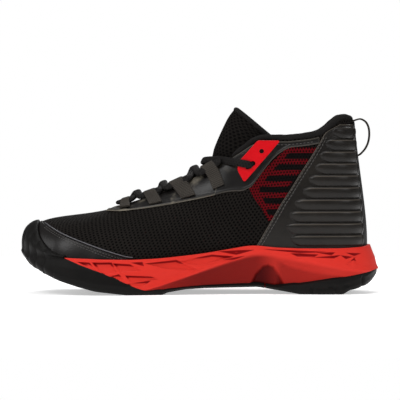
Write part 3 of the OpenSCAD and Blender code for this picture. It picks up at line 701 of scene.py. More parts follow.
def build_rubber(node, s, material, notches):
    sole, t = Sole(s), RUBBER_T
    toe = sole.toe[:, None]
    bump_t = t_at(sole.s, smooth_lookup(station(sole.s)[:, 0] - 1, RUBBER_TOP, 2), 0.2)
    bump_t = np.maximum(bump_t, sole.rim_t + 0.03)

    def bump(f, d, inset):
        up = surf(sole.s, sole.rim_t + (bump_t - sole.rim_t) * f, d)
        flat = sole.at(sole.rubber_h, inset, inset)
        return np.where(toe, up, flat)

    fine = [sole.at(0, 1.2), sole.at(0, 1.2, 0, True)]
    low = sole.start_h
    fine += [sole.at(low * f, 0, 0, True) for f in (0, 0.2, 0.5, 1)]
    rise = [sole.at(low + (sole.rubber_h - low) * f, 0, 0, True) for f in np.linspace(0.045, 1, 22)]
    crown = [bump(f, 4.3 + 3.0 * math.sin(math.pi * f ** 0.9) - 1.8 * f ** 4, 0)
             for f in np.linspace(0.05, 1, 18)]
    lip = [bump(1, d, 0.02 + (2.9 - d) * 0.9) for d in (2.2, 1.6)]
    back = [bump(f, 1.3, t) for f in (1, 0.7, 0.35)]
    ledge = np.where(toe, surf(sole.s, sole.rim_t, 1.3) + [0, 0, 0.1], sole.at(sole.rubber_h, t, t))
    step = np.where(toe, sole.at(np.ones(len(s)), t, t) + [0, 0, 0.1], sole.at(sole.rubber_h, t, t))
    inner = [ledge, step, sole.at(sole.rubber_h * 0.6, t, t), sole.at(0.03, t, t), sole.at(0, t, t)]
    loops = np.array(fine + rise + crown + lip + back + inner)
    k = len(fine) + len(rise) + len(crown)
    # the toe bumper's nose is round, so its rows relax towards each other there
    relax = ease(0, 6, sole.toe * (sole.rim[:, 2] - 30.0)) * 0.5
    hold = ease(0, 5, np.arange(k))[:, None] * ease(k - 1, k - 7, np.arange(k))[:, None]
    for _ in range(40):
        mean = (loops[:k - 2] + loops[2:k]) / 2 - loops[1:k - 1]
        loops[1:k - 1] += mean * (relax[None] * hold[1:-1])[..., None]
    loops[:k] = notches(loops[:k], sole)
    piece = loft(f"{node}_rubber", loops, row_cloth(loops), material)
    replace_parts(piece, node)


def toe_facets(p, sole):
    """Upright flutes in the toe bumper."""
    z = p[..., 2]
    a = np.interp(sole.s, STEPS, RUN)
    a = a - a[len(a) // 2]
    wrap = ease(52, 34, np.abs(a))[None]
    flute = np.abs(np.sin(a / 8.5 * math.pi))[None] ** 0.5
    d = 1.25 * (1 - flute) * (ease(14, 20, z) * ease(55, 49, z)) * wrap
    return p - sole.out[None] * d[..., None]


def heel_notches(p, sole):
    """Three upright notches in the heel's rubber and three dimples between them."""
    x, z = p[..., 0], p[..., 2]
    d = np.zeros(x.shape)
    for nx, w, top, low in ((92, 1.6, 9, 4), (112, 1.6, 9, 4), (134, 0.9, 16, 13)):
        d += 1.6 * np.exp(-((x - nx) / w) ** 2) * ease(top, low, z)
    for nx, nz in ((108, 6.5), (121, 7.5), (99, 5)):
        d += 0.8 * np.exp(-((x - nx) / 3.2) ** 2 - ((z - nz) / 1.3) ** 2)
    return p - sole.out[None] * d[..., None]


# hollows moulded in the foam's sidewall: corners in x and z, and their depth
HOLLOWS = [
    ([(-87, 26.5), (-72, 26.5), (-67, 18.5), (-79, 17)], 1.7),
    ([(-70, 25.8), (-57, 25), (-48, 20.5), (-64, 19)], 1.6),
    ([(-54, 26.5), (-47, 26.8), (-46, 24.3)], 1.1),
    ([(-43, 25.8), (-19, 28.3), (-2, 20), (-26, 21.5)], 1.9),
    ([(-41, 22.5), (-25, 19.8), (-4, 18.8), (-31, 13.5)], 1.6),
    ([(-73, 15), (-66, 17), (-61, 12), (-71, 12.5)], 1.2),
    ([(-60, 16), (-40, 15), (-34, 13), (-56, 10)], 1.4),
    ([(-60, 9), (-41, 11.5), (-47, 6.5)], 1.2),
    ([(-98, 26.8), (-90, 26.5), (-84, 20)], 1.1),
    ([(-16, 27.5), (10, 32.5), (26, 31), (0, 24)], 1.6),
    ([(18, 35.3), (33, 36), (42, 36.2), (30, 33)], 1.1),
    ([(4, 24.5), (22, 29), (34, 31), (12, 23)], 1.0),
    ([(60, 36.6), (98, 35), (82, 34.3)], 1.0),
    ([(76, 33.4), (96, 32.6), (94, 31.4), (80, 31.6)], 1.1),
    ([(100, 34), (110, 34.2), (108, 32.6)], 1.0),
    ([(98, 30.6), (114, 31.8), (110, 30)], 1.0),
    ([(117, 31.6), (124, 30.6), (120, 29.4)], 1.0),
    ([(122, 33.8), (131, 33.2), (127, 31.8)], 0.9),
    ([(120, 24.6), (127, 29.4), (124.6, 24)], 0.9),
    ([(127, 29), (131, 24), (128.4, 24.4)], 0.9),
]
# the outline of the hollow under the arch
ARCH = [(39, 4), (45, 17), (51, 24), (56, 25.6), (61, 23.4), (66, 16), (72, 4)]
ARCH_DEPTH, THIN_HOLLOW = 2.2, 3.6
# how strong the painted shade below the flare is along the sole
SHADED = [[-60, 0], [-40, 0.8], [0, 1], [80, 0.9], [150, 0.6]]


def inside_depth(x, z, corners):
    """Distance in from the nearest side of a convex outline, negative outside."""
    c = np.asarray(corners, float)
    if np.cross(c[1] - c[0], c[2] - c[1]) < 0:
        c = c[::-1]
    best = np.full(x.shape, 1e9)
    for a, b in zip(c, np.roll(c, -1, 0)):
        e = unit(b - a)
        best = np.minimum(best, -(x - a[0]) * e[1] + (z - a[1]) * e[0])
    return best


def build_midsole(material):
    s = (np.arange(1400) + 0.5) / 70
    sole = Sole(s)
    gap = RUBBER_T + 0.05
    below = gap * (1 - ease(0.035, 0.02, np.abs(side(s) - 3.75)))
    above = gap * np.where(sole.toe, 1.0, 0.0)
    low = [sole.at(sole.start_h * f, below, below) for f in (0, 0.4, 1)]
    low += [sole.at(sole.start_h + (sole.rubber_h - sole.start_h) * f, below, below) for f in (0.5, 1)]
    edge = np.clip(sole.rubber_h + 0.004, 0, 1)
    walls = [sole.at(edge + (1 - edge) * f, above) for f in np.linspace(0, 1, 64)]
    p = np.array(walls)
    x, z = p[..., 0], p[..., 2]
    foot = smooth_lookup(x, BOTTOM, 2)
    crest = smooth_lookup(x, CREST, 5)
    v = np.clip((crest - z) / np.maximum(crest - foot, 2), 0, 1)
    second = ease(0, 4, smooth_lookup(x, RIDGE, 4) - z) * ease(60, 68, x) * ease(128, 116, x)
    tuck = 0.26 * smooth_lookup(x, TUCK, 8) * ease(0, 0.35, v) + 1.2 * second
    lip = 1.1 * np.exp(-((z - crest) / 2.2) ** 2) * ease(-50, -20, x)
    sides = ~sole.toe[None]
    hollow, slit_shade_mask = np.zeros(x.shape), np.zeros(x.shape)
    for corners, depth in HOLLOWS:
        low_z, high_z = min(c[1] for c in corners), max(c[1] for c in corners)
        slant = 0.45 + 0.85 * np.clip((z - low_z) / (high_z - low_z), 0, 1)
        within = inside_depth(x, z, corners)
        hollow = np.maximum(hollow, depth * slant * ease(-0.6, 0.5, within))
        upper = 1 if high_z - low_z < THIN_HOLLOW else ease(0.9, 1.15, slant)
        # painted shade mask: a thin band at the upper border of each hollow
        slit_shade_mask = np.maximum(slit_shade_mask, ease(-0.8, 0.0, within) * ease(1.9, 0.7, within) * upper)
    hollow *= sides
    tent = ease(-0.3, 3.2, inside_depth(x, z, ARCH))
    top = ease(0.0, 1.2, (sole.rim[None, :, 2] - z))
    inward = (tuck + hollow * top + ARCH_DEPTH * tent - lip * top) * sides
    p = p - sole.out[None] * inward[..., None]
    rounding = [
        np.where(sole.toe[:, None], p[-1] + [0, 0, 0.02 * (i + 1)], surf(s, sole.rim_t + 0.004, d) + [0, 0, 0.1])
        for i, d in enumerate((3.8, 3.2, 2.2))]
    inner = [surf(s, sole.rim_t, 1.3), surf(s, sole.rim_t * 0.5, 1.3)]
    floor = sole.board - sole.out * 2.5 + [0, 0, -3.2]
    loops = np.array(low + list(p) + rounding + inner + [floor])
    painted_slit_shade, painted_under_shade = np.zeros(loops.shape[:2]), np.zeros(loops.shape[:2])
    k = len(low)
    # the slit band goes to the colour as painted shade
    painted_slit_shade[k:k + len(p)] = slit_shade_mask * sides
    # painted shade: darker below the crest, more so under the second ridge and towards the toe, and in the arch
    # hollow
    shade = ease(0.0, 0.16, v) * (0.42 + 0.3 * np.maximum(second * 0.6, ease(66, 44, x))) + 0.35 * tent
    painted_under_shade[k:k + len(p)] = np.clip(shade, 0, 1) * smooth_lookup(x, SHADED, 4)
    painted_under_shade[:k] = painted_under_shade[k]
    piece = loft("midsole_foam", loops, row_cloth(loops, painted_slit_shade, painted_under_shade), material)
    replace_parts(piece, "midsole")


# ---------------------------------------------------------------- upper panels
MESH_T, GAP, SKIN_T = 0.9, 0.1, 0.4
# how far the layers lie out from the upper's surface
D1 = 0.2
D2 = D1 + SKIN_T
D3 = D2 + GAP
D4 = D3 + SKIN_T


def top_t(s):
    return 1 - 0.04 * (1 - ease(5.4, 6.2, side(s)))


def build_bootie(material):
    s = np.linspace(0, 20, 1100, endpoint=False)[:, None]
    v = np.linspace(0, 1, 130)[None]
    t = v * top_t(s)
    s = np.broadcast_to(s, t.shape)
    base = surf(s, t)
    sag = 0.28 * waves(base, 17) * ease(0.1, 0.3, t) * ease(0.98, 0.8, t)
    outer = surf(s, t, sag - 0.05)
    inner = surf(s, t, sag - MESH_T)
    piece = shell("bootie_mesh", outer, inner, flat_coords(s, t), material, SHOE, ring=True)
    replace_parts(piece, "upper_mesh")


def rounded(edge, thick, radius):
    f = np.clip(edge / radius, 0, 1)
    return thick * np.sqrt(np.clip(1 - (1 - f) ** 2, 0, 1))


def overlay(name, s, t, edge, d0, thick, material, radius, extra=0.0, third=None):
    """A skin on the upper: grids of s and t, distance from its border, and how far it stands out."""
    body = rounded(edge, thick, radius) + extra
    outer = surf(s, t, d0 + body)
    inner = surf(s, t, d0 - 0.25)
    cloth = flat_coords(s, t, edge if third is None else third)
    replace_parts(shell(name, outer, inner, cloth, material, SHOE), name)


def span(s0, s1, low, high, nu=420, nv=60):
    """Grids of s and t between two curves, and the distance from the border in millimetres."""
    s = np.linspace(s0, s1, nu)[:, None]
    v = np.linspace(0, 1, nv)[None]
    t0, t1 = low(s), high(s)
    t = t0 + (t1 - t0) * v
    s = np.broadcast_to(s, t.shape)
    length = wall_length(s[:, 0])[:, None]
    run = np.interp(s, STEPS, RUN)
    ends = np.minimum(run - run.min(), run.max() - run)
    edge = np.minimum(np.minimum(t - t0, t1 - t) * length, ends)
    return s, t, edge


MUDGUARD_TOP = [[7.2, 0.2], [7.6, 0.24], [8.1, 0.285], [8.8, 0.34], [9.2, 0.375], [9.6, 0.41], [10, 0.44]]
EYESTAY_LOW = [[2.05, 0.905], [3.1, 0.905], [3.48, 0.85], [3.9, 0.74], [4.25, 0.655], [4.65, 0.64], [5.3, 0.68],
               [6.05, 0.71], [7, 0.75], [8.1, 0.78], [8.8, 0.86]]
HEEL_FRONT = [[35, 4.1], [42, 3.95], [60, 3.6], [74, 3.33], [87, 3.03], [101, 2.7], [117, 2.3], [131, 1.93],
              [134, 1.78], [137, 1.45], [140, 1.1]]
HEEL_BACK = [[35, 0.66], [42, 0.66], [55, 0.64], [75, 0.58], [95, 0.5], [113, 0.42], [132, 0.3], [140, 0.25]]
ANKLE_FRONT = [[60, 3.66], [70, 3.88], [74, 4], [87, 4.4], [95, 4.15], [103, 3.8], [121, 3.12]]
RIB_FRONT = [[44, 76], [54, 72], [64.5, 75], [74.6, 79.5], [84.2, 86], [94.4, 91], [103.8, 96], [113.5, 99.5],
             [123, 104], [133, 110]]


def build_mudguard(material):
    s, t, edge = span(7.2, 12.8, lambda s: np.full(s.shape, 0.03),
                      lambda s: smooth_lookup(side(s), MUDGUARD_TOP, 0.15))
    overlay("toe_mudguard", s, t, edge, D1, SKIN_T, material, 0.7)


def build_piping(material):
    for label, sign in (("medial", 1), ("lateral", -1)):
        s = np.linspace(9.76, 7.1, 160)
        mirrored = s if sign > 0 else 20 - s
        t = smooth_lookup(s, MUDGUARD_TOP, 0.15) + 0.014
        path = surf(mirrored, t, 0.55)
        flats = surf(mirrored, t, 2) - surf(mirrored, t, 1)
        swell = ease(0, 0.06, np.linspace(0, 1, 160)) * 0.8 + 0.2
        piece = tube(f"piping_{label}", path, flats, 0.95, 0.8, material, SHOE, 12, swell=swell)
        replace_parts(piece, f"piping_{label}")


def build_eyestays(material):
    for label, ends in (("medial", (2.1, 8.8)), ("lateral", (17.9, 11.2))):
        s, t, edge = span(*ends, lambda s: smooth_lookup(side(s), EYESTAY_LOW, 0.12), lambda s: top_t(s) - 0.012)
        # a low welded bead runs just inside the lower border
        length = wall_length(s[:, 0])[:, None]
        low = (t - t[:, :1]) * length
        bead = 0.45 * np.exp(-((low - 1.5) / 0.8) ** 2)
        soft = 0.8 * waves(surf(s, t), 8, 1.3) * ease(1, 5, edge) * ease(4.4, 5.2, side(s))
        # the third value marks the laced part, where the colour gets painted highlight patches
        laced = ease(14, 12, surf(s, t)[..., 0])
        overlay(f"eyestay_{label}", s, t, edge, D3, SKIN_T, material, 0.7,
                extra=(bead + soft) * ease(0, 0.8, edge), third=np.minimum(edge, 4) + 5 * laced)


def level_span(z0, z1, front, back, mirrored, nu, nv):
    """Grids of s and t whose rows are level, between two borders given over the height."""
    z = np.linspace(z0, z1, nv)[None]
    u = np.linspace(0, 1, nu)[:, None]
    s = smooth_lookup(z, front, 1.5) * (1 - u) + smooth_lookup(z, back, 1.5) * u
    z = np.broadcast_to(z, s.shape)
    t = t_at(s, z, 0.5)
    run = np.interp(s, STEPS, RUN)
    edge = np.minimum(np.minimum(z - z0, z1 - z), np.abs(run - run[:1]) * 0.9)
    edge = np.minimum(edge, np.abs(run - run[-1:]) * 0.9)
    return (20 - s if mirrored else s), t, edge, z


def build_ankle_mesh(material):
    back = [[z, s - 0.06] for z, s in HEEL_FRONT]
    for label, mirrored in (("medial", False), ("lateral", True)):
        s, t, edge, z = level_span(60, 121, ANKLE_FRONT, back, mirrored, 150, 170)
        x = surf(s, t)[..., 0]
        # a spine along the front border, and level bars that reach back from it
        spine = smooth_lookup(z, [[60, 50], [74, 47], [87, 41], [103, 54], [121, 71]], 3)
        near = ease(9, 5, x - spine)
        bars = ease(-0.1, 0.35, np.cos((z - 63) / 9.2 * 2 * math.pi))
        red = np.clip(near * 0.8 + bars * ease(34, 26, x - spine), 0, 1)
        overlay(f"ankle_mesh_{label}", s, t, edge, D1, 0.3, material, 0.5, third=red)


RIB_PITCH, FIRST_RIB, LAST_RIB, RIB_BACK = 9.8, 44.3, 9, 134


def build_heel_panels(material):
    for label, mirrored in (("medial", False), ("lateral", True)):
        s, t, edge, z = level_span(35.5, 139.5, HEEL_FRONT, HEEL_BACK, mirrored, 260, 620)
        p = surf(s, t)
        k = np.round((z - FIRST_RIB) / RIB_PITCH)
        level = FIRST_RIB + k * RIB_PITCH
        dz = (z - level) / (RIB_PITCH / 2)
        dz = dz - 0.28 * (1 - dz ** 2)
        front, back = lookup(level, RIB_FRONT) + 8 - p[..., 0], p[..., 0] - RIB_BACK
        over = np.maximum(np.maximum(front / 9, back / 1.6), 0)
        r = np.sqrt(dz ** 2 + over ** 2)
        ribbed = (k >= 0) * (k <= LAST_RIB)
        rib = 2.2 * np.clip(1 - r ** 2.4, 0, 1) ** 0.6 * ribbed
        # painted highlight: a thin pale line near the top of each rib, passed to the colour as a low third value
        gloss = np.exp(-((dz - 0.5) / 0.13) ** 2) * ease(0.95, 0.3, over) * ease(2, 6, edge) * ribbed
        rib = rib * ease(0, 2.5, edge)
        seam_groove = -0.12 * np.exp(-((edge - 4.2) / 0.5) ** 2)
        border = 0.35 * ease(4.6, 3.8, edge)
        overlay(f"heel_panel_{label}", s, t, edge, D3, SKIN_T, material, 0.7,
                extra=(rib + seam_groove + border) * ease(0, 0.7, edge), third=np.minimum(edge, 1.6 - 1.5 * gloss))


def build_back_stay(material):
    low, top = 35.5, 143.6
    z = np.linspace(low, top, 270)[None]
    u = np.linspace(-1, 1, 90)[:, None]
    s = (smooth_lookup(z, HEEL_BACK, 1.5) - 0.03) * u
    z = np.broadcast_to(z, s.shape)
    t = t_at(s, z, 0.5)
    run = np.interp(s, STEPS, RUN)
    edge = np.minimum(np.minimum(run - run[:1], run[-1:] - run), np.minimum(z - low, top - z))
    spine = 0.5 * np.exp(-(u / 0.12) ** 2)
    overlay("back_stay", s, t, edge, D3, SKIN_T, material, 0.8,
            extra=spine * ease(0, 3, edge))


def pad_depth(s, t):
    return 5.5 * ease(0.5, 0.72, t) * (1 - ease(4.6, 5.6, side(s))) * (1 - 0.35 * ease(0.8, 1, t))


def build_lining(material):
    s = np.linspace(0, 20, 520, endpoint=False)[:, None]
    t = 0.03 + 0.9 * np.linspace(0, 1, 90)[None]
    s, t = np.broadcast_arrays(s, t)
    p = surf(s, t)
    pad = pad_depth(s, t)
    # two padded pillows behind the ankle bones, with a channel between
    pillows = np.abs(np.sin(side(s) * math.pi / 1.6)) ** 0.5
    quilt = 1.2 * ease(0.6, 0.7, t) * ease(0.93, 0.86, t) * pillows * (side(s) < 4.8)
    soft = 0.4 * waves(p, 11, 2.0)
    outer = surf(s, t, -MESH_T - 1.4 - pad * 0.9)
    inner = surf(s, t, -MESH_T - 2.0 - pad - quilt - soft * 0.5)
    piece = shell("lining", outer, inner, flat_coords(s, t), material, SHOE, ring=True)
    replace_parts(piece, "lining")


def build_collar_roll(material):
    s = np.linspace(-5.3, 5.3, 900)
    path = surf(s, 0.971, -2.6)
    run = run_of(path)
    swell = 1 + 0.035 * np.sin(run / 2.3) * np.sin(run / 7.1 + 1) + 0.02 * np.sin(run / 1.3)
    swell *= ease(0, 6, run) * ease(0, 6, run[-1] - run) * 0.4 + 0.6
    flats = surf(s, 1.0) - surf(s, 0.9)
    piece = tube("collar_roll", path, flats, 5.9, 6.0, material, SHOE, 28, swell=swell)
    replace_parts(piece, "collar_roll")


def build_sockliner(material):
    s = (np.arange(640) + 0.5) / 32
    board, out = surf(s, 0.0), outward(s)
    rows = [(-8, 0.1), (-4.6, 0.12), (-4.1, 0.6), (-3.9, 2.2), (-4.1, 3.5), (-4.7, 4.0), (-6, 4.1), (-9, 3.9),
            (-14, 3.7), (-20, 3.6)]
    loops = np.array([board + out * a + [0, 0, b] for a, b in rows])
    piece = loft("sockliner", loops, row_cloth(loops, loops[..., 0], loops[..., 1]), material)
    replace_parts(piece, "sockliner")


# ---------------------------------------------------------------- tongue
# x, z of its front line, half width, depth of its curve to the back
TONGUE = np.array([
    [-75, 63, 10, 2], [-64, 69, 15, 3], [-48, 77.4, 19, 5], [-28, 86.2, 23, 9], [-6, 96.9, 24, 14],
    [8, 107, 23, 19], [12.5, 120, 22, 25], [18.5, 134.5, 21, 33], [24, 145.5, 20, 38], [29.5, 153.5, 19, 42]], float)
TONGUE_T, TONGUE_BEND = 5.0, np.radians(80)
# where its top edge lies along it, and how much lower that edge is at the corners
TONGUE_END, END_CURVE = 0.985, 0.035


def tongue_row(v):
    a = np.clip(v, 0, 1) * 9
    i = np.minimum(8, np.floor(a).astype(int))
    rows = [TONGUE[np.clip(i + j, 0, 9)] for j in (-1, 0, 1, 2)]
    return glide(*rows, (a - i)[..., None])


def tongue_at(c, v, d=0.0):
    c, v, d = np.broadcast_arrays(np.asarray(c, float), np.asarray(v, float), np.asarray(d, float))
    r = tongue_row(v)
    step = tongue_row(v + 0.01) - tongue_row(v - 0.01)
    up = unit(step[..., :2])
    bend = TONGUE_BEND
    drop = r[..., 3] * (1 - np.cos(c * bend)) / (1 - math.cos(bend)) + d * np.cos(c * bend * 0.9)
    x = r[..., 0] + up[..., 1] * drop
    z = r[..., 1] - up[..., 0] * drop
    y = r[..., 2] * np.sin(c * bend) / math.sin(bend) - d * np.sin(c * bend * 0.9)
    return np.stack([x, y, z], -1)


def tongue_full(v, c):
    return TONGUE_T * (0.7 + 0.3 * ease(0.3, 0.7, v)) * (1 - 0.6 * np.abs(c) ** 3)


def build_tongue(material, binding):
    c = np.linspace(-1, 1, 150)[:, None]
    f = np.linspace(0, 1, 260)[None]
    v = f * (TONGUE_END - END_CURVE * c * c)
    c = np.broadcast_to(c, v.shape)
    full = tongue_full(v, c)
    edge = np.minimum(1 - np.abs(c), (1 - f)) * 30
    puff = 0.5 * ease(0, 4, edge) + 0.25 * waves(tongue_at(c, v), 9, 0.4)
    outer = tongue_at(c, v, -puff * 0.6)
    inner = tongue_at(c, v, full + puff * 0.3)
    cloth = row_cloth(outer, c * 30, v * 130)
    piece = shell("tongue", outer, inner, cloth, material, None)
    across = np.linspace(-1, 1, 140)
    half = tongue_full(np.full(140, 0.97), across) / 2
    mid = tongue_at(across, TONGUE_END - END_CURVE * across ** 2, half)
    low = tongue_at(across, 0.9 - END_CURVE * across ** 2, half)
    trim = tube("tongue_binding", mid, mid - low, 6.2, 4.6, binding, TONGUE_TOP, 20)
    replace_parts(trim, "tongue_binding")
    return piece


# ---------------------------------------------------------------- loops, tabs and lace
# base s, base t and rim s of each webbing loop
LOOPS = [(8.05, 0.83, 8.4), (7.15, 0.79, 7.55), (6.35, 0.76, 6.8), (5.55, 0.75, 6)]
# the folded webbing: fraction of the way to the rim, height above the surface
FOLD = [(0, 2.1), (0.35, 2.1), (0.7, 2.1), (0.95, 2.15), (1.1, 2.6), (1.17, 3.7), (1.12, 5), (0.98, 5.9),
        (0.8, 5.7), (0.6, 4.3), (0.4, 3.2), (0.2, 3.05), (0, 3.05)]
WEBBING_W, WEBBING_T = 11, 1.15


def on_loop(loop, f, h, across, mirrored=False):
    f, h, across = np.broadcast_arrays(np.asarray(f, float), np.asarray(h, float), np.asarray(across, float))
    s = loop[0] + (loop[2] - loop[0]) * f + across / 33
    return surf(20 - s if mirrored else s, loop[1] + (1 - loop[1]) * f, h)


def build_loops(material):
    fold = spline([(a * 20, b, 0) for a, b in FOLD], 8)[:, :2]
    tangent = unit(np.gradient(fold, axis=0))
    normal = np.stack([-tangent[:, 1], tangent[:, 0]], -1)
    across = np.linspace(-0.5, 0.5, 15)
    crown = np.sqrt(np.clip(1 - (np.abs(across) * 2) ** 8, 0, 1))
    run = run_of(fold)
    for label, flip in (("medial", False), ("lateral", True)):
        for number, loop in enumerate(LOOPS):
            skins = []
            for k in (0, 1):
                half = (k - 0.5) * WEBBING_T * (0.35 + 0.65 * crown)
                off = fold[:, None] + normal[:, None] * half[None, :, None]
                skins.append(on_loop(loop, off[..., 0] / 20, off[..., 1], across[None] * WEBBING_W, flip))
            cloth = row_cloth(skins[0], run[:, None], across[None] * WEBBING_W)
            piece = shell(f"webbing_loop_{label}_{number + 1}", skins[1], skins[0], cloth, material, SHOE)
            if number == 0:
                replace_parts(piece, f"lace_loops_{label}")


# the tab's corners, its base level, and the middle and radius of its eyelet and of its slot
TAB = [(47.5, 126), (65.5, 126), (36.5, 92.5), (31, 102.5), (32.5, 109)]
TAB_BASE, CORNER_R = 92, 1.8
EYELET, EYELET_R = (50.7, 25.6), 2.2
SLOT_MID, SLOT_R, SLOT_HALF, SLOT_LEAN = (41.4, 14.2), 2.3, 2.6, math.radians(32.5)
# label, side, distance out, lean in degrees
TAB_PLACES = [("medial", -1, 36.9, -2.5), ("lateral", 1, 38.2, -5)]


def tab_rings():
    """The tab's rounded outline, its eyelet and its slot, flat."""
    corners = np.array(TAB) + [0, -TAB_BASE]
    outline = []
    for i, b in enumerate(corners):
        u, w = unit(corners[i - 1] - b), unit(corners[(i + 1) % len(corners)] - b)
        start, end = b + u * CORNER_R, b + w * CORNER_R
        outline += [start * (1 - f) ** 2 + b * 2 * f * (1 - f) + end * f * f for f in np.linspace(0, 1, 7)]
    angle = np.linspace(0, 2 * math.pi, 33)[:-1]
    eyelet = np.stack([np.cos(angle), np.sin(angle)], -1) * EYELET_R + EYELET
    axis = np.array([math.cos(SLOT_LEAN), math.sin(SLOT_LEAN)])
    slot = [SLOT_MID + axis * SLOT_HALF * np.sign(math.cos(a)) + SLOT_R * np.array(
        [math.cos(a) * axis[0] - math.sin(a) * axis[1], math.cos(a) * axis[1] + math.sin(a) * axis[0]])
        for a in angle]
    return outline, eyelet, slot


def build_tabs(material):
    """Moulded tabs with rounded corners, a round hole and a slot that the lace goes through."""
    for label, sign, y0, lean in TAB_PLACES:
        curve = bpy.data.curves.new(f"eyelet_tab_{label}", "CURVE")
        curve.dimensions, curve.fill_mode = "2D", "BOTH"
        curve.extrude, curve.bevel_depth, curve.bevel_resolution = 0.45 * MM, 0.35 * MM, 3
        for ring in tab_rings():
            line = curve.splines.new("POLY")
            line.points.add(len(ring) - 1)
            for point, (x, z) in zip(line.points, ring):
                point.co = (x * MM, z * MM, 0, 1)
            line.use_cyclic_u = True
        temp = add_object("temp", curve)
        graph = bpy.context.evaluated_depsgraph_get()
        mesh = bpy.data.meshes.new_from_object(temp.evaluated_get(graph))
        bpy.data.objects.remove(temp)
        co = np.zeros(len(mesh.vertices) * 3, np.float32)
        mesh.vertices.foreach_get("co", co)
        co = co.reshape(-1, 3)
        tilt = math.radians(90 - lean)
        x, z, d = co[:, 0], co[:, 1], co[:, 2] + 0.8 * MM
        y = -y0 * MM + z * math.cos(tilt) - d * math.sin(tilt)
        up = TAB_BASE * MM + z * math.sin(tilt) + d * math.cos(tilt)
        placed = np.stack([x, y if sign < 0 else -y, up], -1)
        mesh.vertices.foreach_set("co", placed.astype(np.float32).ravel())
        if sign > 0:
            mesh.flip_normals()
        mesh.update()
        mesh.materials.clear()
        mesh.materials.append(material)
        piece = add_object(f"red_tab_{label}", mesh)
        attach(piece, SHOE)
        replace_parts(piece, f"eyelet_tab_{label}")


def eye(n, across):
    """A point of the lace in the eye of loop n, some way along from its middle."""
    return on_loop(LOOPS[n], 0.93, 3.9, across)


def hop(n, m, lift):
    """The top of the lace's bow over the tongue, between loops n and m."""
    a, b = eye(n, -9), eye(m, 9)
    return np.array([(a[0] + b[0]) / 2, 0, max(a[2], b[2]) + lift])


SLOT = (42, -38.6, 106)


def half_lace(o):
    """One half of the lace, lowest loop to eyelet tab; o is 1 where it starts on top."""
    return [
        eye(0, 8), eye(0, 0), eye(0, -8), hop(0, 1, 0.6 + 2.8 * o), flip_y(eye(1, 9)), flip_y(eye(1, 0)),
        flip_y(eye(1, -9)), hop(1, 2, 0.8 + 2.8 * (1 - o)), eye(2, 9), eye(2, 0), eye(2, -9),
        hop(2, 3, 1.4 + 2.8 * o), flip_y(eye(3, 9)), flip_y(eye(3, 0)), flip_y(eye(3, -9)),
        (11, 18, 107.5 - o), (5.6 - 2.8 * (1 - o), 0, 108.3 + 1.1 * (1 - o)), (12, -20, 110.3), (24, -33.6, 109.3),
        (33, -39.2, 107.8), (38.5, -40.3, 106.8), SLOT, (43, -32.5, 105.8), (43, -25.2, 105.5)]


TAIL_MEDIAL = [
    (43, -25, 105.5), (43.3, -20, 104.6), (43.8, -15, 101), (44.2, -12.3, 95), (44.5, -11.5, 87),
    (44.8, -11.5, 72), (45, -11.5, 58), (45.3, -11.5, 46), (46.7, -11.5, 38), (50, -11.6, 31.8), (56, -12, 28.3),
    (64, -13, 28.1), (76, -14.5, 28.8), (88, -14, 29.2), (99, -10, 29.5), (106.5, -2, 29.8), (105.5, 8, 29.8),
    (98, 15, 29.6), (86, 18, 29.3), (74, 17.5, 28.8)]
TAIL_LATERAL = [
    (43, 25, 105.5), (42.7, 20, 104.6), (42.3, 15, 101), (42, 12.3, 95), (41.8, 11.5, 87),
    (41.6, 11.5, 72), (41.4, 11.5, 58), (41, 11.5, 44), (39.5, 11.5, 36), (36, 11.4, 29.8), (30, 11, 25.8),
    (22, 10, 24.5), (8, 8, 23.1), (-8, 6, 21.7), (-24, 5, 20.7), (-40, 6, 20.2), (-54, 9, 20), (-65, 13, 20.6)]
AGLET_MEDIAL = [(74, 17.5, 29.2), (54.5, 14, 28.2)]
AGLET_LATERAL = [(-65, 13, 21.2), (-82, 22, 23.2)]
LACE_W, LACE_T, AGLET_D = 6.2, 3.3, 3.4


def build_lace(material, film):
    route = half_lace(0)[::-1] + [(-67, 0, 75.2)] + [flip_y(p) for p in half_lace(1)]
    path = even(spline(route, 24), 0.9)
    steep = ease(-6, 6, path[:, 0])
    flats = unit(np.stack([-0.35 - steep, path[:, 1] / 22, 1 - 0.5 * steep], -1))
    lace = tube("lace", path, flats, LACE_W, LACE_T, material, SHOE, 20, 0.25)
    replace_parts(lace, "lace")
    for label, tail, aglet, first in (
            ("medial", TAIL_MEDIAL, AGLET_MEDIAL, 1), ("lateral", TAIL_LATERAL, AGLET_LATERAL, -1)):
        path = even(spline(tail, 16), 1.0)
        n = len(path)
        f = ease(0.25, 0.5, np.arange(n) / n)
        flats = unit(np.stack([0 * f, first * (1 - f), f + 0.02], -1))
        cord = tube(f"lace_tail_{label}", path, flats, LACE_W, LACE_T, material, SHOE, 20, 0.25)
        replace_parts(cord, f"lace_tail_{label}")
        a, b = np.array(aglet, float)
        way = unit(b - a)
        stops = np.linspace(0, 1, 40)
        line = a + way * 0.2 + (b - a) * stops[:, None]
        swell = 1 - 0.12 * ease(0.9, 1, stops) - 0.04 * np.exp(-((stops - 0.12) / 0.02) ** 2)
        tip = tube(f"aglet_{label}", line, np.tile([0, 0, 1.0], (40, 1)), AGLET_D, AGLET_D, film, SHOE,
                   20, swell=swell)
        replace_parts(tip, f"aglet_{label}")


# ---------------------------------------------------------------- pull loop
# x and z along the webbing, and half its width
PULL_ROUTE = [(126, 141.6), (128.6, 142.9), (131.2, 143.8), (133.8, 144.2), (136.4, 143.2), (138.9, 141),
              (140.8, 136.5), (141.2, 130.5), (140.2, 124.5), (137.9, 119.6), (135.6, 116.8), (133.8, 115),
              (131.3, 113.6), (129.2, 112.6)]


PULL_HALF = 5


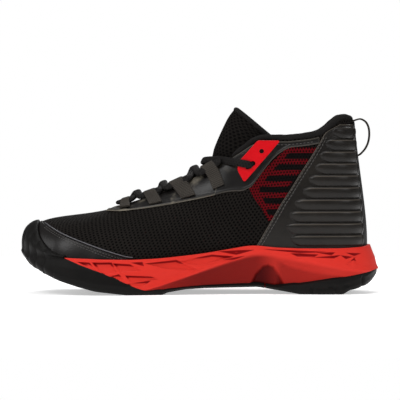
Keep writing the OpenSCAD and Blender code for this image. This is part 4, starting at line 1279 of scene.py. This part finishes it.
def build_pull_loop(material):
    route = even(spline([(x, 0, z) for x, z in PULL_ROUTE], 10), 0.5)
    tangent = unit(np.gradient(route, axis=0))
    normal = np.cross(tangent, [0, 1, 0])
    across = np.linspace(-PULL_HALF, PULL_HALF, 17)
    crown = np.sqrt(np.clip(1 - (np.abs(across) / PULL_HALF) ** 8, 0, 1)) * 0.55 + 0.15
    run = run_of(route)
    wide = np.array([0, 1, 0]) * across[None, :, None]
    skins = [route[:, None] + normal[:, None] * (k * crown)[None, :, None] + wide for k in (-1, 1)]
    cloth = row_cloth(skins[0], run[:, None], across[None])
    piece = shell("pull_loop_webbing", skins[1], skins[0], cloth, material, None)
    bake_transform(piece)
    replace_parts(piece, "pull_loop", "pull_loop_anchors")


# ---------------------------------------------------------------- stitching
def stitches(name, path, normals, material, length=2.3, spacing=3.1, wide=0.5):
    """A row of raised thread stitches, each a small closed capsule lying along the seam."""
    run = run_of(path)
    starts = np.arange(0.5, run[-1] - length, spacing)
    rows, sides = 7, 6
    f = np.linspace(0, 1, rows)
    at = starts[:, None] + f[None] * length
    p = np.stack([np.interp(at, run, path[:, i]) for i in range(3)], -1)
    n = unit(np.stack([np.interp(at, run, normals[:, i]) for i in range(3)], -1))
    t = unit(np.gradient(p, axis=1))
    b = np.cross(t, n)
    arch = np.sin(math.pi * f)
    size = wide * (0.25 + 0.75 * arch ** 0.5)
    p = p + n * (arch * wide * 0.45)[None, :, None]
    angle = np.linspace(0, 2 * math.pi, sides, endpoint=False)
    ring = n[:, :, None] * np.sin(angle)[:, None] + b[:, :, None] * np.cos(angle)[:, None]
    points = p[:, :, None] + ring * (size / 2)[None, :, None, None]
    one = tube_faces(rows, sides)
    faces = (one[None] + (np.arange(len(starts)) * rows * sides)[:, None, None]).reshape(-1, 4)
    cloth = row_cloth(points, at[:, :, None]).reshape(-1, 3)
    make_object(name, points.reshape(-1, 3), faces, cloth, material, SHOE)


def seam(name, s, t, d, material, **more):
    path = surf(s, t, d)
    normals = surf(s, t, d + 1) - path
    stitches(name, path, normals, material, **more)


def build_seams(thread):
    for label, mirror in (("medial", lambda s: s), ("lateral", lambda s: 20 - s)):
        z = np.linspace(37, 130, 400)
        for number, inset in enumerate((0.055, 0.145)):
            s = smooth_lookup(z, HEEL_FRONT, 1.5) - inset
            seam(f"heel_seam_{label}_{number + 1}", mirror(s), t_at(s, z, 0.5), D4 + 0.35, thread)
        s = np.linspace(9.5, 7.3, 200)
        for number, drop in enumerate((0.018, 0.042)):
            t = smooth_lookup(s, MUDGUARD_TOP, 0.15) - drop
            seam(f"toe_seam_{label}_{number + 1}", mirror(s), t, D2, thread, length=1.8, spacing=2.6, wide=0.4)
        s = np.linspace(2.3, 4.9, 220)
        seam(f"collar_seam_{label}", mirror(s), top_t(s) - 0.035, D4, thread)


# ---------------------------------------------------------------- build everything
def dress_cad():
    """Procedural finishes for the CAD nodes that stay."""
    board = make_knit("strobel_felt", srgb(150, 143, 126), srgb(190, 182, 165), 1.0)
    stiff = make_plain("stiffener_sheet", srgb(175, 168, 150), srgb(200, 195, 180), 0.6)
    foam = make_plain("collar_foam_open", srgb(70, 70, 76), srgb(110, 110, 118), 0.95, 900, 0.0005, 0.1)
    shank = make_plain("shank_plastic", srgb(38, 38, 39), srgb(60, 60, 62), 0.4)
    tread = make_rubber("tread_rubber", srgb(20, 20, 20), srgb(34, 33, 32), 0.6)
    for node, material in (
            ("strobel_board", board), ("toe_puff", stiff), ("heel_counter", stiff), ("collar_foam", foam),
            ("shank_plate", shank), ("forefoot_tread", tread), ("heel_tread", tread)):
        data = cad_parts[node].data
        data.materials.clear()
        data.materials.append(material)


def main():
    place_camera()
    rubber = make_rubber("outsole_rubber", srgb(7, 7, 6), srgb(17, 15, 14))
    webbing = make_webbing()
    binding = make_knit("binding_knit", srgb(14, 13, 13), srgb(32, 30, 29), 1.2)
    build_lace(make_braid(), make_plain("aglet_film", srgb(18, 18, 18), srgb(30, 30, 30), 0.25))
    studio()
    dress_cad()
    build_rubber("outsole_forefoot", np.linspace(3.775, 16.225, 880), rubber, toe_facets)
    build_rubber("outsole_heel", np.linspace(-3.725, 3.725, 450), rubber, heel_notches)
    build_midsole(make_foam_sidewall())
    build_sockliner(make_knit("sockliner_top", srgb(30, 30, 32), srgb(52, 52, 55), 1.6))
    build_bootie(make_bootie_mesh())
    build_mudguard(make_skin("toe_skin", srgb(6, 4, 4), srgb(19, 15, 13), 0.36, 0.26))
    build_piping(make_plain("piping_line", srgb(62, 61, 64), srgb(84, 83, 88), 0.45))
    build_eyestays(make_eyestay())
    build_ankle_mesh(make_striped_mesh())
    # the heel skin's light colour also paints the highlight line on each rib
    heel = make_skin("heel_skin", srgb(4, 3, 3), srgb(84, 77, 69), 0.32, 0.22, 0.2, 0.65)
    build_heel_panels(heel)
    build_back_stay(make_skin("back_stay_skin", srgb(5, 4, 4), srgb(13, 11, 10), 0.5, 0.14))
    build_lining(make_knit("lining_knit", srgb(16, 16, 17), srgb(34, 34, 36), 1.5))
    build_collar_roll(binding)
    tongue = build_tongue(make_tongue_mesh(), binding)
    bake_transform(tongue)
    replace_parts(tongue, "tongue_lower", "tongue_upper")
    build_loops(webbing)
    build_tabs(make_plain("red_tab", srgb(192, 0, 12), srgb(206, 1, 18), 0.34, 400, 0.00005, 0.16))
    build_pull_loop(webbing)
    build_seams(make_thread("thread", srgb(40, 38, 36), srgb(84, 80, 76)))


main()
